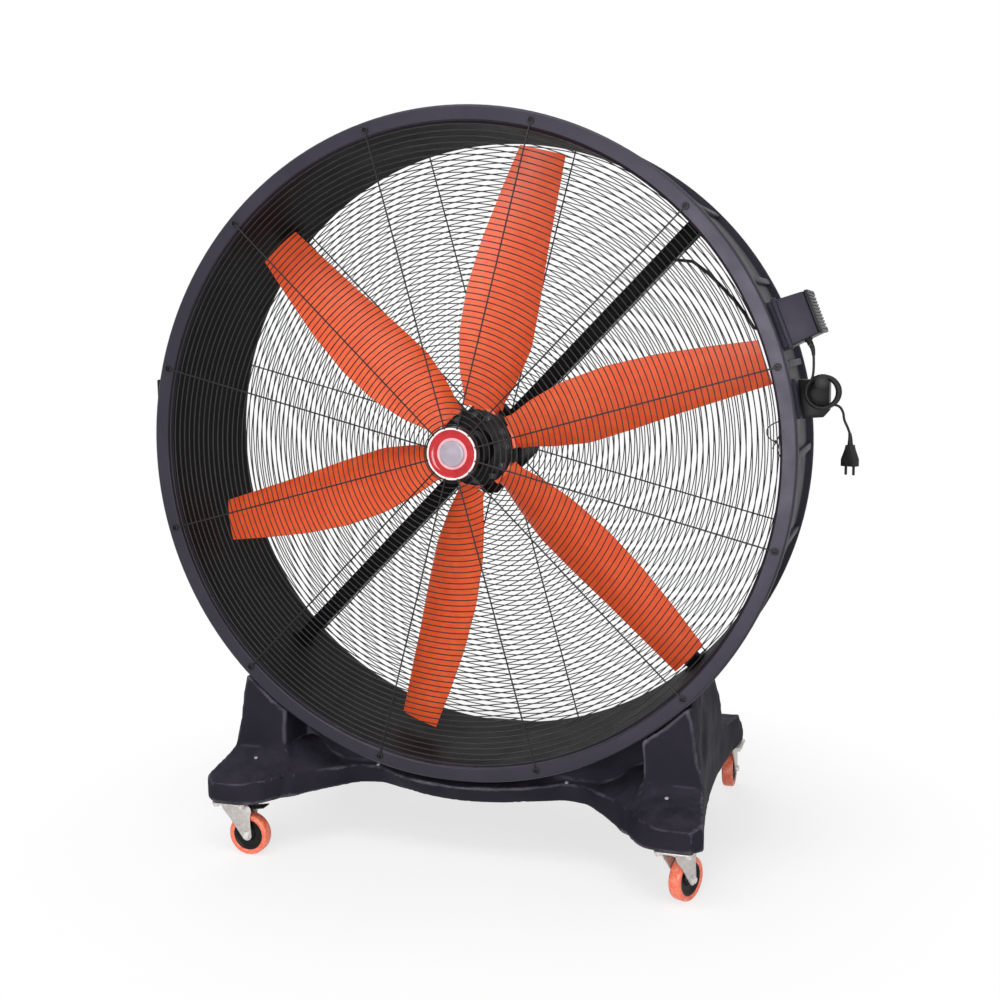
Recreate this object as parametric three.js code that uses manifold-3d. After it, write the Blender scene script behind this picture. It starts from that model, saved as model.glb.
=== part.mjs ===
// Drum fan, 1.5 m class: a moulded ring drum on a four-footed base with swivel casters.
// Millimetres, +Z up, the blower side faces -Y. While the pieces are made, y = 0 is the
// front face of the drum's flange and x = 0 its axis; the last lines centre the whole.
import * as THREE from 'three';
import { mergeVertices } from 'three/addons/utils/BufferGeometryUtils.js';
import Module from 'manifold-3d';

// ---- driving dimensions -------------------------------------------------------------
const CLEAR = 0.3; // gap left between touching pieces

// drum
const DRUM_R = 770; // outer radius of both flanges
const DRUM_DEPTH = 394;
const FLANGE_W = 34;
const MOUTH_R = DRUM_R - FLANGE_W; // opening of the flanges
const THROAT_R = MOUTH_R - 5; // inner wall
const BODY_R = DRUM_R - 14; // outer wall between the flanges
const FRONT_RIM = 30; // width of the front flange along the axis
const REAR_RIM = 26;
const RIM_ROUND = 6;
const FLOOR_GAP = 195; // from the floor to the drum
const AXIS_Z = DRUM_R + FLOOR_GAP; // height of the drum's axis above the floor
const RIB_STEP_DEG = 15;
const RIB_WIDTH = 16;
const RIB_SET_IN = 4; // ribs stop this far inside the flange radius

// guards
const WIRE = 3.6; // ring wire
const SPOKE = 4;
const SPOKES = 12;
const SPOKE_START_DEG = 15;
const GUARD_CLOSE = 8; // gap between the outer ring and the flange opening
const FRONT_PITCH = 26; // every second wire of the guard's 13 mm pitch
const REAR_PITCH = 65; // every fifth one
const WELD = 0.6; // depth by which wires sink into each other
const CUP_R = 72; // centre cup that holds the badge
const CUP_WALL = 10;
const CUP_DEPTH = 11;
const CUP_FLOOR = 3;

// badge
const BADGE_R = 60;
const BADGE_DEPTH = 9;
const BADGE_RIM = 4;
const DISC_R = 30;
const DISC_T = 4;

// rotor
const HUB_Y = DRUM_DEPTH - 203; // middle plane of the blades
const HUB_R = 92;
const HUB_NOSE_R = 46;
const HUB_NOSE = 30;
const ROOT_DEPTH = 33; // blade root block, along the axis
const ROOT_WIDTH = 58;
const ROOT_IN_R = 62;
const PLATE_T = 10;
const BLADES = 6;
const BLADE_START_DEG = 16.4;
const TIP_GAP = 24; // between the blades and the inner wall
const TIP_R = THROAT_R - TIP_GAP;
const TIP_HALF = 51;
const ROOT_PITCH_DEG = 38;
const TIP_PITCH_DEG = 18;
const BLADE_WIDE = 94; // half width at the widest
const BLADE_THICK = 7;
const SHAFT_R = 14;

// motor and its cross
const BAR_W = 36;
const BAR_D = 30;
const BAR_Y = HUB_Y + 55; // front face of the bars
const BAR_START_DEG = 45;
const BAR_IN_R = 40;
const BRACKET_T = 6;
const BRACKET_W = 50;
const BRACKET_L = 64;
const MOUNT_HALF = 98;
const MOUNT_T = 8;
const MOTOR_R = 77;
const MOTOR_L = 66;
const FIN_H = 5;
const FINS = 8;
const COWL_R = 70;
const COWL_L = 24;
const TERMINAL = 44; // terminal box, side
const TERMINAL_H = 26;
const MOTOR_CABLE_D = 8;

// base
const CASTER_H = 132;
const SKIRT_Z = 182; // top edge of the skirt
const FRONT_Y = -136; // front of the front feet
const REAR_Y = DRUM_DEPTH + 330;
const FOOT_OUT_X = DRUM_R - 173;
const FOOT_W = 147;
const FOOT_IN_X = FOOT_OUT_X - FOOT_W;
const WAIST_X = FOOT_OUT_X - 56;
const WAIST_Y = 210; // where the waist begins
const WAIST_L = 170;
const REAR_FOOT_X = FOOT_OUT_X - 25;
const FLARE_Y = REAR_Y - 154; // where the rear feet spread
const RECESS_X = FOOT_IN_X - 188; // deepest point of the recess between the feet
const RECESS_Y = 104;
const APRON_Y = 28; // middle of the front apron, under the drum
const LEG_Z = 236; // where the legs rise from the front feet
const LEG_REAR_Z = 268;
const LEG_FRONT_Y = 8;
const LEG_REAR_TOP_Y = DRUM_DEPTH - 9;
const LEG_REAR_Y = DRUM_DEPTH + 49;
const LEG_OUT_X = FOOT_OUT_X - 24;
const LEG_IN_X = LEG_OUT_X - 131;
const LEG_TOP_X = LEG_OUT_X - 25;
const LEG_OVER = 4; // the legs' outline ends this far above the wall that it meets
const SHOULDER = 57; // height of the legs' last, steeper stretch outside
const REAR_SHOULDER = 66; // and behind
const SADDLE_Y = 120; // front of the block between the legs
const RIM_GAP = 10; // room round the flanges

// casters
const WHEEL_R = 50;
const WHEEL_W = 30;
const CORE_R = 37;
const AXLE_R = 6;
const TRAIL = 38; // axle behind the swivel axis
const PLATE_HALF = 42;
const PLATE_Z = 4;
const KINGPIN_R = 8;
const FORK_TOP_R = 31;
const FORK_TOP_T = 7;
const FORK_WALL = 3.5;
const SIDE_GAP = 1.5; // between the wheel and each fork cheek
const CASTER_X = FOOT_OUT_X - 62;
const CASTER_FRONT_Y = FRONT_Y + 46;
const CASTER_REAR_Y = REAR_Y - 56;
const PEDAL_W = 28;
const PEDAL_L = 46;
const PEDAL_T = 4;

// control box, lugs and the supply cord
const BOX_DEG = 21.3;
const BOX_Y = 38;
const BOX_DEPTH = 162;
const BOX_REACH = 90; // from the drum's wall to the lid
const BOX_OUT = BODY_R + BOX_REACH; // radius where the housing ends and its lid begins
const BOX_HALF = 54; // half width at the drum
const BOX_TAPER = 7; // narrower by this at the lid
const LID_T = 12.5;
const LID_RIB = 2.5; // height of its ribs
const KNOB_R = 21;
const KNOB_H = 20;
const LUG_Z = 124; // height of both side lugs above the axis
const LUG_HALF = 40;
const LUG_REACH = 68;
const LUG_OUT = BODY_R + LUG_REACH;
const LUG_Y = 102;
const LUG_DEPTH = 52;
const PEG_R = 10;
const PEG_L = 58;
const CORD_D = 5.5;
const COIL_R = 33;
const COIL_TURNS = 7;
const COIL_GAP = 0.7; // between neighbouring turns
const GLAND_R = 9;
const GLAND_L = 14;
const PLUG_L = 46;
const PLUG_W = 34;
const PLUG_T = 19;
const PLUG_DROP = 114; // from the coil's middle down to the plug
const PLUG_DEG = 60; // which way its flat side looks

// ---- solids -------------------------------------------------------------------------
const wasm = await Module();
wasm.setup();
const DEG = Math.PI / 180;

function solidOf(geometry) {
  const bare = geometry.clone();
  bare.deleteAttribute('normal');
  bare.deleteAttribute('uv');
  const merged = mergeVertices(bare, 1e-4);
  const vertProperties = new Float32Array(merged.attributes.position.array);
  const triVerts = new Uint32Array(merged.index.array);
  return new wasm.Manifold(new wasm.Mesh({ numProp: 3, vertProperties, triVerts }));
}

function geometryOf(solid) {
  const mesh = solid.getMesh();
  const geometry = new THREE.BufferGeometry();
  geometry.setAttribute('position', new THREE.BufferAttribute(mesh.vertProperties.slice(), 3));
  geometry.setIndex(new THREE.BufferAttribute(mesh.triVerts.slice(), 1));
  geometry.computeVertexNormals();
  return geometry;
}

const join = (solids) => solids.reduce((sum, next) => sum.add(next));
const cut = (solid, tools) => tools.reduce((rest, tool) => rest.subtract(tool), solid);

// Vertices in rings, each ring joined to the next: the basis of blades and wires.
function loft(rings, closed = false) {
  const n = rings[0].length;
  const position = rings.flat().flatMap((p) => [p.x, p.y, p.z]);
  const index = [];
  const last = closed ? rings.length : rings.length - 1;
  for (let i = 0; i < last; i++) {
    const a = i * n;
    const b = ((i + 1) % rings.length) * n;
    for (let j = 0; j < n; j++) {
      const k = (j + 1) % n;
      index.push(a + j, a + k, b + k, a + j, b + k, b + j);
    }
  }
  if (!closed) {
    const end = (rings.length - 1) * n;
    for (let j = 1; j < n - 1; j++) {
      index.push(0, j + 1, j, end, end + j, end + j + 1);
    }
  }
  const geometry = new THREE.BufferGeometry();
  geometry.setAttribute('position', new THREE.Float32BufferAttribute(position, 3));
  geometry.setIndex(index);
  const solid = solidOf(geometry);
  if (solid.volume() > 0) return solid;
  return solidOf(flipped(geometry));
}

function flipped(geometry) {
  const index = Array.from(geometry.index.array);
  for (let i = 0; i < index.length; i += 3) {
    [index[i + 1], index[i + 2]] = [index[i + 2], index[i + 1]];
  }
  const copy = geometry.clone();
  copy.setIndex(index);
  return copy;
}

// A box from its low and high corners.
function block(x0, x1, y0, y1, z0, z1) {
  const geometry = new THREE.BoxGeometry(x1 - x0, y1 - y0, z1 - z0);
  geometry.translate((x0 + x1) / 2, (y0 + y1) / 2, (z0 + z1) / 2);
  return solidOf(geometry);
}

function shapeOf(points) {
  return new THREE.Shape(points.map(([a, b]) => new THREE.Vector2(a, b)));
}

// Outlines pulled straight along an axis. The XZ one runs from y0 to y1, and so on.
function alongZ(points, z0, z1) {
  const geometry = new THREE.ExtrudeGeometry(shapeOf(points), { depth: z1 - z0, bevelEnabled: false });
  geometry.translate(0, 0, z0);
  return solidOf(geometry);
}

function alongY(points, y0, y1) {
  const geometry = new THREE.ExtrudeGeometry(shapeOf(points), { depth: y1 - y0, bevelEnabled: false });
  geometry.rotateX(Math.PI / 2);
  geometry.translate(0, y1, 0);
  return solidOf(geometry);
}

function alongX(points, x0, x1) {
  const geometry = new THREE.ExtrudeGeometry(shapeOf(points), { depth: x1 - x0, bevelEnabled: false });
  geometry.rotateX(Math.PI / 2);
  geometry.rotateZ(Math.PI / 2);
  geometry.translate(x0, 0, 0);
  return solidOf(geometry);
}

// A turned piece about the Y axis; the profile is [radius, y] and ends on the axis or
// closes on itself.
function turned(profile, segments) {
  const points = profile.map(([r, y]) => new THREE.Vector2(r, y));
  const solid = solidOf(new THREE.LatheGeometry(points, segments));
  return solid.volume() > 0 ? solid : solidOf(flipped(new THREE.LatheGeometry(points, segments)));
}

function ringProfile(r0, r1, y0, y1) {
  return [[r0, y0], [r1, y0], [r1, y1], [r0, y1], [r0, y0]];
}

const rodProfile = (r, y0, y1) => [[0, y0], [r, y0], [r, y1], [0, y1]];

// A piece turned about Y, set upright so that its +Y end points down.
const hang = (solid) => solid.rotate([-90, 0, 0]);

// Circles and polygons whose flats, not corners, keep the stated radius.
const flatR = (r, segments) => r / Math.cos(Math.PI / segments);

function polar(r, deg, y = 0) {
  return new THREE.Vector3(r * Math.cos(deg * DEG), y, r * Math.sin(deg * DEG));
}

const upright = (solid, deg) => solid.rotate([0, -deg, 0]);
const raise = (solid) => solid.translate([0, 0, AXIS_Z]);

// A tube of a few flat sides, as an extrusion along a smooth curve.
function tube(curve, diameter, steps, sides) {
  const section = new THREE.Shape();
  const r = diameter / 2;
  for (let i = 0; i < sides; i++) {
    const a = (2 * Math.PI * i) / sides;
    if (i === 0) section.moveTo(r, 0);
    else section.lineTo(r * Math.cos(a), r * Math.sin(a));
  }
  const options = { steps, bevelEnabled: false, extrudePath: curve };
  return solidOf(new THREE.ExtrudeGeometry(section, options));
}

// ---- the drum -----------------------------------------------------------------------
const DRUM_SEGMENTS = 56;

function drumShell() {
  const seat = 14;
  const profile = [
    [MOUTH_R, 0], [DRUM_R - RIM_ROUND, 0], [DRUM_R, RIM_ROUND], [DRUM_R, FRONT_RIM],
    [BODY_R, FRONT_RIM + RIM_ROUND], [BODY_R, DRUM_DEPTH - REAR_RIM - RIM_ROUND],
    [DRUM_R, DRUM_DEPTH - REAR_RIM], [DRUM_R, DRUM_DEPTH - RIM_ROUND],
    [DRUM_R - RIM_ROUND, DRUM_DEPTH], [MOUTH_R, DRUM_DEPTH], [MOUTH_R, DRUM_DEPTH - seat],
    [THROAT_R, DRUM_DEPTH - seat - 6], [THROAT_R, seat + 6], [MOUTH_R, seat], [MOUTH_R, 0],
  ];
  let drum = turned(profile, DRUM_SEGMENTS);
  const ribs = [];
  for (let deg = -30; deg <= 210; deg += RIB_STEP_DEG) {
    const rib = block(BODY_R - 6, DRUM_R - RIB_SET_IN, FRONT_RIM - 2, DRUM_DEPTH - REAR_RIM + 2,
      -RIB_WIDTH / 2, RIB_WIDTH / 2);
    ribs.push(upright(rib, deg));
  }
  drum = join([drum, ...ribs]);
  return raise(drum);
}

// ---- guards -------------------------------------------------------------------------
function ringSegments(r) {
  if (r < MOUTH_R * 0.35) return SPOKES;
  return r < MOUTH_R * 0.9 ? 2 * SPOKES : 3 * SPOKES;
}

// A ring of three-sided wire, its edge towards the spokes in front of it.
function wireRing(r) {
  const n = ringSegments(r);
  const half = WIRE / 2;
  const rings = [];
  for (let i = 0; i < n; i++) {
    const deg = SPOKE_START_DEG + (360 * i) / n;
    rings.push([polar(r, deg, -WELD), polar(r + half, deg, WIRE - WELD),
      polar(r - half, deg, WIRE - WELD)]);
  }
  return loft(rings, true);
}

// Wires, spokes and centre of one guard. Its spokes lie from y = -SPOKE to 0, the
// rings behind them. Only two spokes bite into every ring: the rest pass just clear.
function guard(pitch) {
  const outer = MOUTH_R - GUARD_CLOSE;
  const count = Math.floor((outer - CUP_R - pitch / 2) / pitch);
  const parts = [];
  for (let i = 0; i <= count; i++) parts.push(wireRing(outer - i * pitch));
  const reach = (MOUTH_R + DRUM_R) / 2 - 2;
  for (let i = 0; i < SPOKES; i++) {
    const bites = i % (SPOKES / 2) === 1;
    const back = bites ? 0 : -WELD - CLEAR / 2;
    const spoke = block(CUP_R - 5, reach, -SPOKE, back, -SPOKE / 2, SPOKE / 2);
    parts.push(upright(spoke, SPOKE_START_DEG + (360 * i) / SPOKES));
  }
  const y0 = -WELD - 1.2;
  const inner = CUP_R - CUP_WALL;
  const cup = [[0, CUP_DEPTH - CUP_FLOOR], [inner, CUP_DEPTH - CUP_FLOOR], [inner, y0],
    [CUP_R, y0], [CUP_R, CUP_DEPTH - 3], [CUP_R - 3, CUP_DEPTH], [0, CUP_DEPTH]];
  parts.push(turned(cup, 20));
  return join(parts);
}

const frontGuard = () => raise(guard(FRONT_PITCH).translate([0, -CLEAR, 0]));

function rearGuard() {
  const turnedRound = guard(REAR_PITCH).rotate([0, 0, 180]);
  return raise(turnedRound.translate([0, DRUM_DEPTH + CLEAR, 0]));
}

// ---- badge --------------------------------------------------------------------------
const badgeFloor = () => CUP_DEPTH - CUP_FLOOR - 2 * CLEAR;

function badgeDish() {
  const back = badgeFloor();
  const front = back - BADGE_DEPTH;
  const profile = [
    [0, back - 3], [DISC_R + 4, back - 3], [BADGE_R - BADGE_RIM - 8, back - 3.5],
    [BADGE_R - BADGE_RIM, front + 1.5], [BADGE_R - BADGE_RIM + 1.5, front],
    [BADGE_R - 1.5, front], [BADGE_R, front + 1.5], [BADGE_R, back], [0, back],
  ];
  return raise(turned(profile, 20));
}

function badgeDisc() {
  const back = badgeFloor() - 3 - CLEAR;
  const profile = [[0, back - DISC_T], [DISC_R - 4, back - DISC_T],
    [DISC_R, back - DISC_T + 2.5], [DISC_R, back], [0, back]];
  return raise(turned(profile, 20));
}

// ---- rotor --------------------------------------------------------------------------
const ROOT_FRONT = HUB_Y - ROOT_DEPTH / 2;
const ROOT_BACK = HUB_Y + ROOT_DEPTH / 2;

// One section of a blade: chord from the trailing to the leading edge, pitched about
// the blade's own axis, with its belly bowed towards the outlet.
function bladeSection(r, lead, trail, pitchDeg, thick) {
  const pitch = pitchDeg * DEG;
  const chord = (lead + trail) / Math.cos(pitch);
  const bow = 0.05 * chord;
  const points = [];
  const stations = [0, 0.12, 0.4, 0.75, 1];
  const upper = stations.map((s) => [s, Math.sin(Math.PI * s) * bow + thick * bladeFullness(s)]);
  const lower = stations.map((s) => [s, Math.sin(Math.PI * s) * bow - thick * bladeFullness(s)]);
  for (const [s, h] of [...upper, ...lower.reverse()]) {
    const along = s * chord - trail / Math.cos(pitch);
    const t = along * Math.cos(pitch) - h * Math.sin(pitch);
    const y = HUB_Y - along * Math.sin(pitch) - h * Math.cos(pitch);
    points.push(new THREE.Vector3(r, y, t));
  }
  return points;
}

const bladeFullness = (s) => 0.16 + 0.34 * Math.sin(Math.PI * Math.sqrt(s)) ;

// The root block that the two hub halves grip, with as many corners as a section.
function rootSection(r, scale = 1) {
  const h = (ROOT_DEPTH / 2 - CLEAR) * scale;
  const w = (ROOT_WIDTH / 2) * scale;
  const across = [-1, -0.6, 0, 0.6, 1];
  const front = across.map((u) => new THREE.Vector3(r, HUB_Y - h, u * w));
  const rear = across.map((u) => new THREE.Vector3(r, HUB_Y + h, u * w)).reverse();
  return [...front, ...rear];
}

// Half widths to each side of the blade's axis, from root to tip, as shares of the widest.
const BLADE_PLAN = [
  [0.0, 0.52, 0.34], [0.1, 0.74, 0.52], [0.24, 0.93, 0.68], [0.42, 1.0, 0.66],
  [0.62, 0.92, 0.6], [0.82, 0.74, 0.57],
];

function blade(index) {
  const start = HUB_R + 22;
  const rings = [rootSection(ROOT_IN_R), rootSection(HUB_R + 3)];
  for (const [f, lead, trail] of BLADE_PLAN) {
    const r = start + (TIP_R - start) * f;
    const pitch = ROOT_PITCH_DEG + (TIP_PITCH_DEG - ROOT_PITCH_DEG) * f;
    const thick = BLADE_THICK * (1.5 - 0.9 * f);
    rings.push(bladeSection(r, lead * BLADE_WIDE, trail * BLADE_WIDE, pitch, thick));
  }
  rings.push(bladeSection(TIP_R, TIP_HALF, TIP_HALF, TIP_PITCH_DEG, BLADE_THICK * 0.55));
  const solid = upright(loft(rings), BLADE_START_DEG + (360 * index) / BLADES);
  return raise(solid);
}

function bladeHub() {
  const front = ROOT_FRONT - PLATE_T;
  const profile = [
    [0, front - HUB_NOSE], [HUB_NOSE_R - 12, front - HUB_NOSE], [HUB_NOSE_R, front - HUB_NOSE + 8],
    [HUB_NOSE_R + 4, front - 6], [HUB_R - 6, front], [HUB_R, front + 4], [HUB_R, ROOT_FRONT],
    [ROOT_IN_R - 8, ROOT_FRONT], [ROOT_IN_R - 8, ROOT_BACK - CLEAR], [SHAFT_R + CLEAR, ROOT_BACK - CLEAR],
    [SHAFT_R + CLEAR, front - HUB_NOSE + 14], [0, front - HUB_NOSE + 14],
  ];
  const ribs = [];
  for (let i = 0; i < BLADES; i++) {
    const rib = block(HUB_NOSE_R - 4, HUB_R - 8, front - 12, front + 2, -3, 3);
    ribs.push(upright(rib, BLADE_START_DEG + (360 * i) / BLADES));
  }
  return raise(join([turned(profile, 20), ...ribs]));
}

function hubPlate() {
  const profile = [[SHAFT_R + CLEAR, ROOT_BACK], [HUB_R, ROOT_BACK], [HUB_R, ROOT_BACK + PLATE_T - 4],
    [HUB_R - 4, ROOT_BACK + PLATE_T], [SHAFT_R + 12, ROOT_BACK + PLATE_T],
    [SHAFT_R + 9, ROOT_BACK + PLATE_T + 8], [SHAFT_R + CLEAR, ROOT_BACK + PLATE_T + 8],
    [SHAFT_R + CLEAR, ROOT_BACK]];
  return raise(turned(profile, 20));
}

function motorShaft() {
  const front = ROOT_FRONT - PLATE_T - HUB_NOSE + 14 + CLEAR;
  return raise(turned(rodProfile(SHAFT_R, front, motorFront() - CLEAR), 16));
}

// ---- motor and its cross ------------------------------------------------------------
const barBack = () => BAR_Y + BAR_D;
const mountBack = () => barBack() + CLEAR + MOUNT_T;
const motorFront = () => mountBack() + CLEAR;

function supportBar(deg) {
  const end = bracketFace() - CLEAR;
  const c = 3;
  const w = BAR_W / 2;
  const outline = [[BAR_Y + c, -w], [BAR_Y + BAR_D, -w], [BAR_Y + BAR_D, w], [BAR_Y + c, w],
    [BAR_Y, w - c], [BAR_Y, c - w]];
  return raise(upright(alongX(outline, BAR_IN_R, end), deg));
}

// Flat pad on the inner wall: half a pad's width stands off the round wall.
const padOuter = () => Math.sqrt((THROAT_R * Math.cos(Math.PI / DRUM_SEGMENTS)) ** 2
  - (BRACKET_W / 2) ** 2) - CLEAR;
const bracketFace = () => padOuter() - BRACKET_T;

function barBracket(deg) {
  const pad = block(bracketFace(), padOuter(), BAR_Y - 12, BAR_Y - 12 + BRACKET_L,
    -BRACKET_W / 2, BRACKET_W / 2);
  const y0 = barBack() + CLEAR;
  const tongue = block(bracketFace() - 60, bracketFace() + 1, y0, y0 + BRACKET_T,
    -BAR_W / 2, BAR_W / 2);
  return raise(upright(pad.add(tongue), deg));
}

function motorMount() {
  const y0 = barBack() + CLEAR;
  const h = MOUNT_HALF;
  const c = 24;
  const outline = [[-h + c, -h], [h - c, -h], [h, -h + c], [h, h - c], [h - c, h], [-h + c, h],
    [-h, h - c], [-h, -h + c]];
  const plate = alongY(outline, y0, y0 + MOUNT_T);
  const hole = turned(rodProfile(SHAFT_R + 12, y0 - 5, y0 + MOUNT_T + 5), 16);
  return raise(upright(plate.subtract(hole), BAR_START_DEG));
}

function motorBody() {
  const y0 = motorFront();
  const y1 = y0 + MOTOR_L;
  const profile = [[0, y0], [MOTOR_R + FIN_H, y0], [MOTOR_R + FIN_H, y0 + 7], [MOTOR_R, y0 + 9],
    [MOTOR_R, y1 - 4], [MOTOR_R - 4, y1], [0, y1]];
  const fins = [];
  for (let i = 0; i < FINS; i++) {
    const fin = block(MOTOR_R - 3, MOTOR_R + FIN_H, y0 + 6, y1 - 8, -2.5, 2.5);
    fins.push(upright(fin, ((i + 0.5) * 360) / FINS + BAR_START_DEG));
  }
  return raise(join([turned(profile, 20), ...fins]));
}

function motorCowl() {
  const y0 = motorFront() + MOTOR_L + CLEAR;
  const y1 = y0 + COWL_L;
  const profile = [[0, y0], [COWL_R, y0], [COWL_R, y1 - 8], [COWL_R - 10, y1], [24, y1],
    [20, y1 - 4], [0, y1 - 4]];
  return raise(turned(profile, 20));
}

function terminalBox() {
  const y0 = motorFront() + 12;
  const r0 = MOTOR_R + FIN_H + CLEAR;
  const housing = block(r0, r0 + TERMINAL_H, y0, y0 + TERMINAL, -TERMINAL / 2, TERMINAL / 2);
  return raise(upright(housing, BAR_START_DEG));
}

// The motor's cable: out of the terminal box, along the back of the upper right bar and
// round to the wall behind the control box.
function motorCable() {
  const y = barBack() + MOTOR_CABLE_D / 2 + BRACKET_T + 2 * CLEAR;
  const box = MOTOR_R + FIN_H + CLEAR + TERMINAL_H + CLEAR;
  const y0 = motorFront() + 12 + TERMINAL / 2;
  const wall = THROAT_R * Math.cos(Math.PI / DRUM_SEGMENTS) - CLEAR;
  const d = MOTOR_CABLE_D;
  const end = BOX_Y + 0.87 * BOX_DEPTH;
  const points = [polar(box, BAR_START_DEG, y0), polar(box + d, BAR_START_DEG, y0),
    polar(box + 7.5 * d, BAR_START_DEG, y), polar(0.465 * wall, BAR_START_DEG, y),
    polar(0.821 * wall, BAR_START_DEG, y), polar(0.892 * wall, BAR_START_DEG - 3, y),
    polar(0.942 * wall, BOX_DEG + 8, y - 2.5 * d), polar(wall - 1.5 * d, BOX_DEG, end), polar(wall, BOX_DEG, end)];
  return raise(tube(new THREE.CatmullRomCurve3(points), MOTOR_CABLE_D, 18, 8));
}

// ---- base ---------------------------------------------------------------------------
// Plan of the right half, then mirrored: feet, waist and the recesses between the feet.
function basePlan() {
  const corner = 26;
  const rearMid = (REAR_Y + LEG_REAR_Y) / 2 - 20;
  const side = new THREE.SplineCurve([
    new THREE.Vector2(FOOT_OUT_X, FRONT_Y + corner), new THREE.Vector2(FOOT_OUT_X - 25, FRONT_Y + 130),
    new THREE.Vector2(WAIST_X, WAIST_Y), new THREE.Vector2(WAIST_X, WAIST_Y + WAIST_L),
    new THREE.Vector2((WAIST_X + REAR_FOOT_X) / 2 - 2, FLARE_Y), new THREE.Vector2(REAR_FOOT_X, REAR_Y - corner),
  ]).getPoints(14);
  const rear = new THREE.SplineCurve([
    new THREE.Vector2(FOOT_IN_X - 14, REAR_Y - corner), new THREE.Vector2(FOOT_IN_X - 56, REAR_Y - 106),
    new THREE.Vector2(RECESS_X, rearMid - 24), new THREE.Vector2(RECESS_X / 2, rearMid - 6),
    new THREE.Vector2(0, rearMid),
  ]).getPoints(10);
  const front = new THREE.SplineCurve([
    new THREE.Vector2(0, APRON_Y), new THREE.Vector2(RECESS_X - 119, APRON_Y + 30),
    new THREE.Vector2(RECESS_X, RECESS_Y), new THREE.Vector2(RECESS_X + 62, RECESS_Y - 22),
    new THREE.Vector2(FOOT_IN_X - 44, 20), new THREE.Vector2(FOOT_IN_X, FRONT_Y + corner),
  ]).getPoints(15);
  const half = [
    ...front, new THREE.Vector2(FOOT_IN_X + corner * 0.6, FRONT_Y), new THREE.Vector2(FOOT_OUT_X - corner, FRONT_Y),
    ...side, new THREE.Vector2(REAR_FOOT_X - corner, REAR_Y), new THREE.Vector2(FOOT_IN_X - 6, REAR_Y), ...rear,
  ];
  const right = half.map((p) => [p.x, p.y]);
  const left = right.slice(1, -1).map(([x, y]) => [-x, y]).reverse();
  return [...right, ...left];
}

function pedestal() {
  const z0 = CASTER_H + CLEAR;
  const top = AXIS_Z - Math.sqrt(BODY_R ** 2 - LEG_OUT_X ** 2) + LEG_OVER;
  const side = [
    [FRONT_Y, z0], [REAR_Y, z0], [REAR_Y - 8, z0 + 20], [REAR_Y - 74, z0 + 86], [LEG_REAR_Y + 26, LEG_REAR_Z - 28],
    [LEG_REAR_Y, LEG_REAR_Z], [LEG_REAR_TOP_Y, top - REAR_SHOULDER], [LEG_REAR_TOP_Y, top], [LEG_FRONT_Y + 6, top],
    [LEG_FRONT_Y, LEG_Z], [FRONT_Y + 14, SKIRT_Z + 8], [FRONT_Y + 4, SKIRT_Z],
  ];
  const half = [[LEG_TOP_X - 8, top], [LEG_TOP_X, top - SHOULDER], [LEG_OUT_X, LEG_Z + 8], [FOOT_OUT_X - 6, LEG_Z - 22],
    [FOOT_OUT_X + 2, SKIRT_Z], [FOOT_OUT_X + 2, z0]];
  const face = [...half, ...half.map(([x, z]) => [-x, z]).reverse()];
  let base = alongZ(basePlan(), z0, top);
  base = base.intersect(alongX(side, -FOOT_OUT_X - 10, FOOT_OUT_X + 10));
  base = base.intersect(alongY(face, FRONT_Y - 10, REAR_Y + 10));

  const fall = LEG_Z - SKIRT_Z;
  const gapIn = [[LEG_IN_X - fall, SKIRT_Z], [LEG_IN_X, LEG_Z], [LEG_IN_X, top + 10],
    [-LEG_IN_X, top + 10], [-LEG_IN_X, LEG_Z], [-LEG_IN_X + fall, SKIRT_Z]];
  const seat = turned([[0, 0], [BODY_R + CLEAR, 0], [BODY_R + CLEAR, DRUM_DEPTH], [0, DRUM_DEPTH]], DRUM_SEGMENTS);
  const rimR = DRUM_R + RIM_GAP;
  const frontRim = turned(rodProfile(rimR, -60, FRONT_RIM + RIM_ROUND + RIM_GAP), DRUM_SEGMENTS);
  const rearRim = turned(rodProfile(rimR, DRUM_DEPTH - REAR_RIM - RIM_ROUND - RIM_GAP, DRUM_DEPTH + 60), DRUM_SEGMENTS);
  return cut(base, [
    alongY(gapIn, FRONT_Y - 20, SADDLE_Y), alongY(gapIn, DRUM_DEPTH - REAR_RIM - 12, REAR_Y + 20),
    raise(seat), raise(frontRim), raise(rearRim),
  ]);
}

// ---- casters ------------------------------------------------------------------------
// Made about the swivel axis, z = 0 at the top of the plate, the wheel trailing to +X.
const axleZ = () => WHEEL_R - CASTER_H;

function casterPlate() {
  const p = PLATE_HALF;
  const c = 6;
  const outline = [[-p + c, -p], [p - c, -p], [p, -p + c], [p, p - c], [p - c, p], [-p + c, p],
    [-p, p - c], [-p, -p + c]];
  const under = PLATE_Z + FORK_TOP_T + 2 * CLEAR;
  const pin = hang(turned(rodProfile(KINGPIN_R, 1, under + 2), 8));
  const nut = hang(turned(rodProfile(KINGPIN_R + 5, under, under + 6), 6));
  return join([alongZ(outline, -PLATE_Z, 0), pin, nut]);
}

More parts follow.
